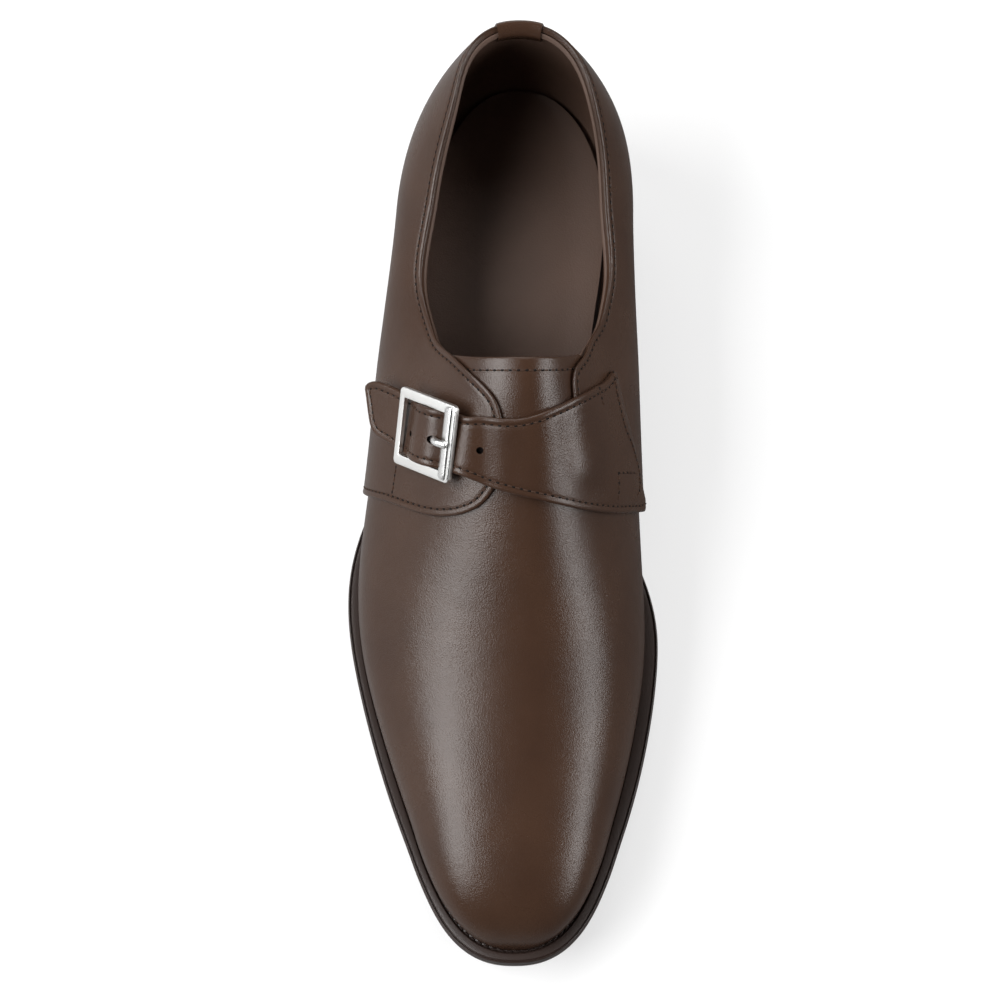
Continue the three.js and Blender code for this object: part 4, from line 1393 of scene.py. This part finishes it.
def add_relief(tree, shader, height, strength, distance):
    bump = node(tree, "ShaderNodeBump", {"Height": height, "Strength": strength, "Distance": distance})
    tree.links.new(bump.outputs[0], shader.inputs["Normal"])


def add_leather(tree, shader, rough, grain):
    """Places the grain group, links its relief and its uneven gloss, and returns its node."""
    leather = node(tree, "ShaderNodeGroup", node_tree=GROUPS["grain"])
    tree.links.new(own_place(tree), leather.inputs["Place"])
    tree.links.new(spread(tree, leather.outputs["Mottle"], *rough), shader.inputs["Roughness"])
    add_relief(tree, shader, leather.outputs["Height"], grain, GRAIN_DEPTH)
    return leather


def calf_grain_group():
    """Fine pores and soft unevenness of smooth calf: a height, and a slow mottle for its colour."""
    group, given, made = node_group(
        "calf_grain",
        [("Place", "NodeSocketVector", None), ("Pore size", "NodeSocketFloat", 0.00047)],
        [("Height", "NodeSocketFloat"), ("Mottle", "NodeSocketFloat")],
    )
    scale = maths(group, "DIVIDE", 1.0, given.outputs["Pore size"])
    pores = node(group, "ShaderNodeTexVoronoi", {"Vector": given.outputs["Place"], "Scale": scale})
    fine = noise(group, given.outputs["Place"], 3200.0, 3.0)
    slow = noise(group, given.outputs["Place"], 150.0, 2.0)
    height = maths(group, "MULTIPLY", pores.outputs["Distance"], 0.6)
    both = maths(group, "ADD", height, maths(group, "MULTIPLY", fine, 0.7))
    all_three = maths(group, "ADD", both, maths(group, "MULTIPLY", slow, 1.4))
    group.links.new(all_three, made.inputs["Height"])
    mottle = noise(group, given.outputs["Place"], 38.0, 3.0, 0.55)
    group.links.new(mottle, made.inputs["Mottle"])
    return group


def edge_mask_group():
    """Along a turned edge, by the distance from it in millimetres: the seam's furrow, and the very edge."""
    group, given, made = node_group(
        "seam_furrow",
        [("Distance", "NodeSocketFloat", 10.0), ("Centre", "NodeSocketFloat", STITCH_IN),
         ("Width", "NodeSocketFloat", 0.5)],
        [("Furrow", "NodeSocketFloat"), ("Edge", "NodeSocketFloat")],
    )
    off = maths(group, "SUBTRACT", given.outputs["Distance"], given.outputs["Centre"])
    share = maths(group, "DIVIDE", maths(group, "ABSOLUTE", off), given.outputs["Width"])
    furrow = maths(group, "SUBTRACT", 1.0, share, clamp=True)
    edge = maths(group, "SUBTRACT", 1.0, maths(group, "DIVIDE", given.outputs["Distance"], 0.45), clamp=True)
    group.links.new(furrow, made.inputs["Furrow"])
    group.links.new(edge, made.inputs["Edge"])
    return group


def new_material(name, **values):
    """A material with plain values on its shader. An underscore stands for a space in a socket's name."""
    material = bpy.data.materials.new(name)
    material.use_nodes = True
    tree = material.node_tree
    shader = tree.nodes["Principled BSDF"]
    for key, value in values.items():
        shader.inputs[key.replace("_", " ")].default_value = value
    return material, tree, shader


def linear(red, green, blue):
    """A colour given as 0-255 display values."""
    def one(v):
        v /= 255
        return v / 12.92 if v <= 0.04045 else ((v + 0.055) / 1.055) ** 2.4
    return one(red), one(green), one(blue), 1.0


def colour_mix(tree, share, a, b):
    made = node(tree, "ShaderNodeMix", {0: share, 6: a, 7: b}, data_type="RGBA")
    return made.outputs[2]


def shade_of(colour, share):
    return [channel * share for channel in colour[:3]] + [1]


GRAIN_DEPTH = 0.00025
CALF_FINISH = {"rough": (0.245, 0.315), "grain": 0.3}
LEATHER_PORE = 0.0006


def calf_material(name, light, dark, furrowed):
    """Smooth calf. Where its seam is furrowed, the furrow is painted darker, as painted shade, and the very
    edge is made darker too.
    """
    material, tree, shader = new_material(name, Specular_IOR_Level=0.38)
    leather = add_leather(tree, shader, CALF_FINISH["rough"], CALF_FINISH["grain"])
    mottle = node(tree, "ShaderNodeMapRange", {
        "Value": leather.outputs["Mottle"], "From Min": 0.3, "From Max": 0.7})
    colour = colour_mix(tree, mottle.outputs[0], light, dark)
    if furrowed:
        seam = node(tree, "ShaderNodeUVMap", uv_map="seam")
        parts = node(tree, "ShaderNodeSeparateXYZ", {0: seam.outputs[0]})
        mask = node(tree, "ShaderNodeGroup", node_tree=GROUPS["furrow"])
        tree.links.new(parts.outputs["Y"], mask.inputs["Distance"])
        mask.inputs["Centre"].default_value = furrowed
        # Painted shade: the seam's furrow is darkened.
        painted_furrow_shade = maths(tree, "MULTIPLY", mask.outputs["Furrow"], 0.55)
        colour = colour_mix(tree, painted_furrow_shade, colour, shade_of(dark, 0.45))
        # The very edge is made darker.
        darker_edge = maths(tree, "MULTIPLY", mask.outputs["Edge"], 0.5)
        colour = colour_mix(tree, darker_edge, colour, shade_of(dark, 0.5))
    tree.links.new(colour, shader.inputs["Base Color"])
    return material


def plain_leather(name, light, dark, rough, grain):
    """Leather without a shine: lining, sole and welt."""
    material, tree, shader = new_material(name)
    leather = add_leather(tree, shader, (rough - 0.05, rough + 0.05), grain)
    leather.inputs["Pore size"].default_value = LEATHER_PORE
    tree.links.new(colour_mix(tree, leather.outputs["Mottle"], light, dark), shader.inputs["Base Color"])
    return material


def speckled(name, light, dark, scale, detail, relief, depth, **values):
    """A material with a fine uneven colour and a relief that follows it."""
    material, tree, shader = new_material(name, **values)
    specks = noise(tree, own_place(tree), scale, detail)
    tree.links.new(colour_mix(tree, specks, light, dark), shader.inputs["Base Color"])
    add_relief(tree, shader, specks, relief, depth)
    return material


def thread_material(name, light, dark):
    """Waxed thread, its strands a little uneven. The painted shade of the needle holes is made the same way.
    """
    return speckled(name, light, dark, 5200.0, 1.0, 0.5, 0.0001, Roughness=0.7, Specular_IOR_Level=0.15)


def metal_material(name, rough, tint, brush):
    """Plated metal with fine polishing marks."""
    material, tree, shader = new_material(name, Metallic=1.0)
    turned = node(tree, "ShaderNodeMapping", {
        "Vector": own_place(tree), "Rotation": (0.3, 0.5, BUCKLE["turn"]), "Scale": (1.0, 14.0, 1.0)})
    marks = noise(tree, turned.outputs[0], 900.0, 3.0)
    tree.links.new(colour_mix(tree, marks, tint, shade_of(tint, 0.93)), shader.inputs["Base Color"])
    tree.links.new(spread(tree, marks, rough * 0.8, rough * 1.25), shader.inputs["Roughness"])
    add_relief(tree, shader, marks, brush, 0.00005)
    return material


GROUPS = {"grain": calf_grain_group(), "furrow": edge_mask_group()}
CALF_LIGHT = linear(62, 43, 32)
CALF_DARK = linear(54, 36, 26)
CALF = calf_material("brown_calf", CALF_LIGHT, CALF_DARK, None)
CALF_EDGED = calf_material("brown_calf_turned_edge", CALF_LIGHT, CALF_DARK, STITCH_IN)
CALF_TONGUE = calf_material("brown_calf_tongue", CALF_LIGHT, CALF_DARK, TONGUE_STITCH_IN)
LINING_LEATHER = plain_leather("brown_lining", linear(84, 62, 50), linear(70, 52, 42), 0.62, 0.25)
SOLE_LEATHER = plain_leather("waxed_sole_edge", linear(58, 44, 39), linear(44, 33, 30), 0.38, 0.12)
WELT_LEATHER = plain_leather("dark_welt", linear(50, 37, 32), linear(38, 28, 24), 0.42, 0.2)
UPPER_THREAD = thread_material("brown_thread", linear(74, 54, 43), linear(54, 39, 31))
WELT_FINISH = thread_material("dark_thread", linear(46, 34, 30), linear(28, 21, 19))
# Near black: painted shade for the needle holes and inside the strap's holes.
PAINTED_HOLE_SHADE = thread_material("painted_needle_hole_shade", linear(20, 13, 10), linear(12, 8, 6))
BUCKLE_FLAT = metal_material("brushed_nickel", 0.36, linear(240, 240, 238), 0.12)
BUCKLE_BRIGHT = metal_material("polished_nickel", 0.27, linear(238, 238, 237), 0.0)
RUBBER = speckled(
    "heel_rubber_black", linear(30, 27, 26), linear(44, 40, 38), 1500.0, 3.0, 0.3, 0.0002, Roughness=0.75)


# ---------------------------------------------------------------- making the shoe
def make_upper():
    """The quarters with their linings, the vamp and the tab, and the places of their seams."""
    seams = []
    for name, side, facing in (("outer", -1, OUTER_FACING), ("inner", 1, INNER_FACING)):
        edge, into, (points, faces, uv) = quarter(side, facing, QUARTER_FRONT[name])
        piece = new_piece(f"{name}_quarter", points, faces, uv)
        finish(piece, CALF_EDGED, stands_for=(f"{name}_facing",))
        seams.append(quarter_seam(edge, into))
        if side < 0:
            seams.append(seam_on_piece(piece, FLAP_SEAM, QUARTER["proud"]))
        points, faces, uv = lining_grid(side, facing)
        finish(new_piece(f"{name}_lining", points, faces), LINING_LEATHER)
    edge, into, (points, faces, uv) = vamp_grid()
    vamp = new_piece("vamp", points, faces, uv)
    finish(vamp, CALF_TONGUE, stands_for=("upper",))
    tongue = np.abs(edge[:, 1]) < VAMP["corner_girth"] * TONGUE_SEAM_SHARE
    places = (edge + into * TONGUE_STITCH_IN)[tongue]
    seams.append(seam_on_last(places, STITCH_SINK))
    heel_tab_piece(CALF)
    return seams


def make_strap():
    """The strap, and the places of the seams round it and at its root."""
    shape = strap_shape()
    piece = strap_piece(shape, CALF)
    return strap_seams(shape) + [seam_on_piece(piece, places, height) for places, height in ROOT_SEAMS]


def dress_cad_nodes():
    """Gives the nodes that are shown as they are their materials."""
    for name, material in (("buckle_pin", BUCKLE_BRIGHT), ("buckle_keeper", CALF)):
        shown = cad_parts[name]
        shown.data.materials.clear()
        shown.data.materials.append(material)


seams = make_upper() + make_strap()
stitches("upper_seams", seams, THREAD, UPPER_THREAD)
# Painted shade: flat near-black marks where the needle holes are.
stitches("upper_needle_hole_shade", seams, NEEDLE_HOLE_SHADE, PAINTED_HOLE_SHADE)
outsole_piece(SOLE_LEATHER)
welt_piece(WELT_LEATHER)
stitches("welt_seam", welt_seam(), WELT_THREAD, WELT_FINISH)
heel_lifts(SOLE_LEATHER)
heel_top_piece(RUBBER)
insole_piece(LINING_LEATHER)
buckle_frame_piece(BUCKLE_FLAT)
heavy_bar(BUCKLE_BRIGHT)
prong_piece(BUCKLE_BRIGHT)
dress_cad_nodes()


# ---------------------------------------------------------------- floor, light and camera
def add_floor():
    """A white floor. In the gloss of the leather it is painted dimmer, more so on the inner side, as painted
    shade.
    """
    deselect()
    bpy.ops.mesh.primitive_plane_add(size=6, location=(0, 0, 0))
    floor = bpy.context.object
    floor.name = "floor"
    material, tree, shader = new_material(
        "pale_floor", Roughness=0.9, Specular_IOR_Level=0.0, Emission_Color=(1, 1, 1, 1))
    place = own_place(tree)
    shade = noise(tree, place, 3.0)
    pale = colour_mix(tree, shade, (0.42, 0.42, 0.42, 1), (0.43, 0.43, 0.43, 1))
    mirrored = node(tree, "ShaderNodeLightPath").outputs["Is Glossy Ray"]
    # Painted shade: what the gloss mirrors of the floor is darker, more so towards the inner side.
    across = node(tree, "ShaderNodeSeparateXYZ", {0: place}).outputs["X"]
    painted_shade_in_gloss = node(tree, "ShaderNodeMapRange", {
        "Value": across, "From Min": -0.1, "From Max": 0.1, "To Min": 0.4, "To Max": 0.12}).outputs[0]
    tree.links.new(colour_mix(tree, mirrored, pale, painted_shade_in_gloss), shader.inputs["Base Color"])
    seen = node(tree, "ShaderNodeLightPath").outputs["Is Camera Ray"]
    tree.links.new(maths(tree, "MULTIPLY", seen, 0.55), shader.inputs["Emission Strength"])
    floor.data.materials.append(material)


# Direction round the shoe and rise above the floor in degrees, size and distance in metres, power in watts.
SOFTBOXES = {
    "left_softbox": (180, 45, (0.95, 1.7), 1.6, 42),
    "left_low_softbox": (180, 6, (0.3, 1.2), 1.6, 1.5),
    "right_softbox": (0, 30, (0.5, 1.7), 1.6, 23),
    "back_softbox": (90, 42, (0.9, 1.3), 1.6, 10),
}
LIT_PLACE = (0, -0.08, 0.05)
WORLD = {"overhead": 0.03, "horizon": 0.11, "pale_below": 0.1, "dim_above": 0.6}


def add_softbox(name, compass, rise, size, distance, power):
    """Its first size runs up and down, its second along the floor."""
    lamp = bpy.data.lights.new(name, "AREA")
    lamp.shape = "RECTANGLE"
    lamp.size, lamp.size_y = size
    lamp.energy = power
    holder = bpy.data.objects.new(name, lamp)
    bpy.context.collection.objects.link(holder)
    turn = Matrix.Rotation(math.radians(compass), 4, "Z") @ Matrix.Rotation(math.radians(90 - rise), 4, "Y")
    holder.matrix_world = Matrix.Translation(LIT_PLACE) @ turn @ Matrix.Translation((0, 0, distance))


def add_world():
    """White all round: pale at the horizon and dim overhead."""
    world = bpy.data.worlds.new("studio")
    bpy.context.scene.world = world
    world.use_nodes = True
    tree = world.node_tree
    place = node(tree, "ShaderNodeTexCoord").outputs["Generated"]
    height = node(tree, "ShaderNodeSeparateXYZ", {0: place}).outputs["Z"]
    strength = node(tree, "ShaderNodeMapRange", {
        "Value": height, "From Min": WORLD["pale_below"], "From Max": WORLD["dim_above"],
        "To Min": WORLD["horizon"], "To Max": WORLD["overhead"]})
    ground = tree.nodes["Background"]
    ground.inputs["Color"].default_value = (1, 1, 1, 1)
    tree.links.new(strength.outputs[0], ground.inputs["Strength"])


# The field is the width seen at the shoe's distance, in metres.
CAMERA = {
    "elevation": math.radians(76), "distance": 1.25, "field": 0.3288, "aim": (0.0, -0.0032, 0.045),
    "sensor": 36, "nearest": 0.05,
}


def add_camera():
    camera = bpy.data.cameras.new("camera")
    camera.sensor_width = CAMERA["sensor"]
    camera.lens = camera.sensor_width * CAMERA["distance"] / CAMERA["field"]
    camera.clip_start = CAMERA["nearest"]
    holder = bpy.data.objects.new("camera", camera)
    bpy.context.collection.objects.link(holder)
    aim = Vector(CAMERA["aim"])
    back = Vector((0, -math.cos(CAMERA["elevation"]), math.sin(CAMERA["elevation"])))
    holder.location = aim + back * CAMERA["distance"]
    holder.rotation_euler = (math.radians(90) - CAMERA["elevation"], 0, 0)
    bpy.context.scene.camera = holder


add_floor()
add_world()
for name, placing in SOFTBOXES.items():
    add_softbox(name, *placing)
add_camera()
bpy.context.scene.view_settings.view_transform = "Standard"
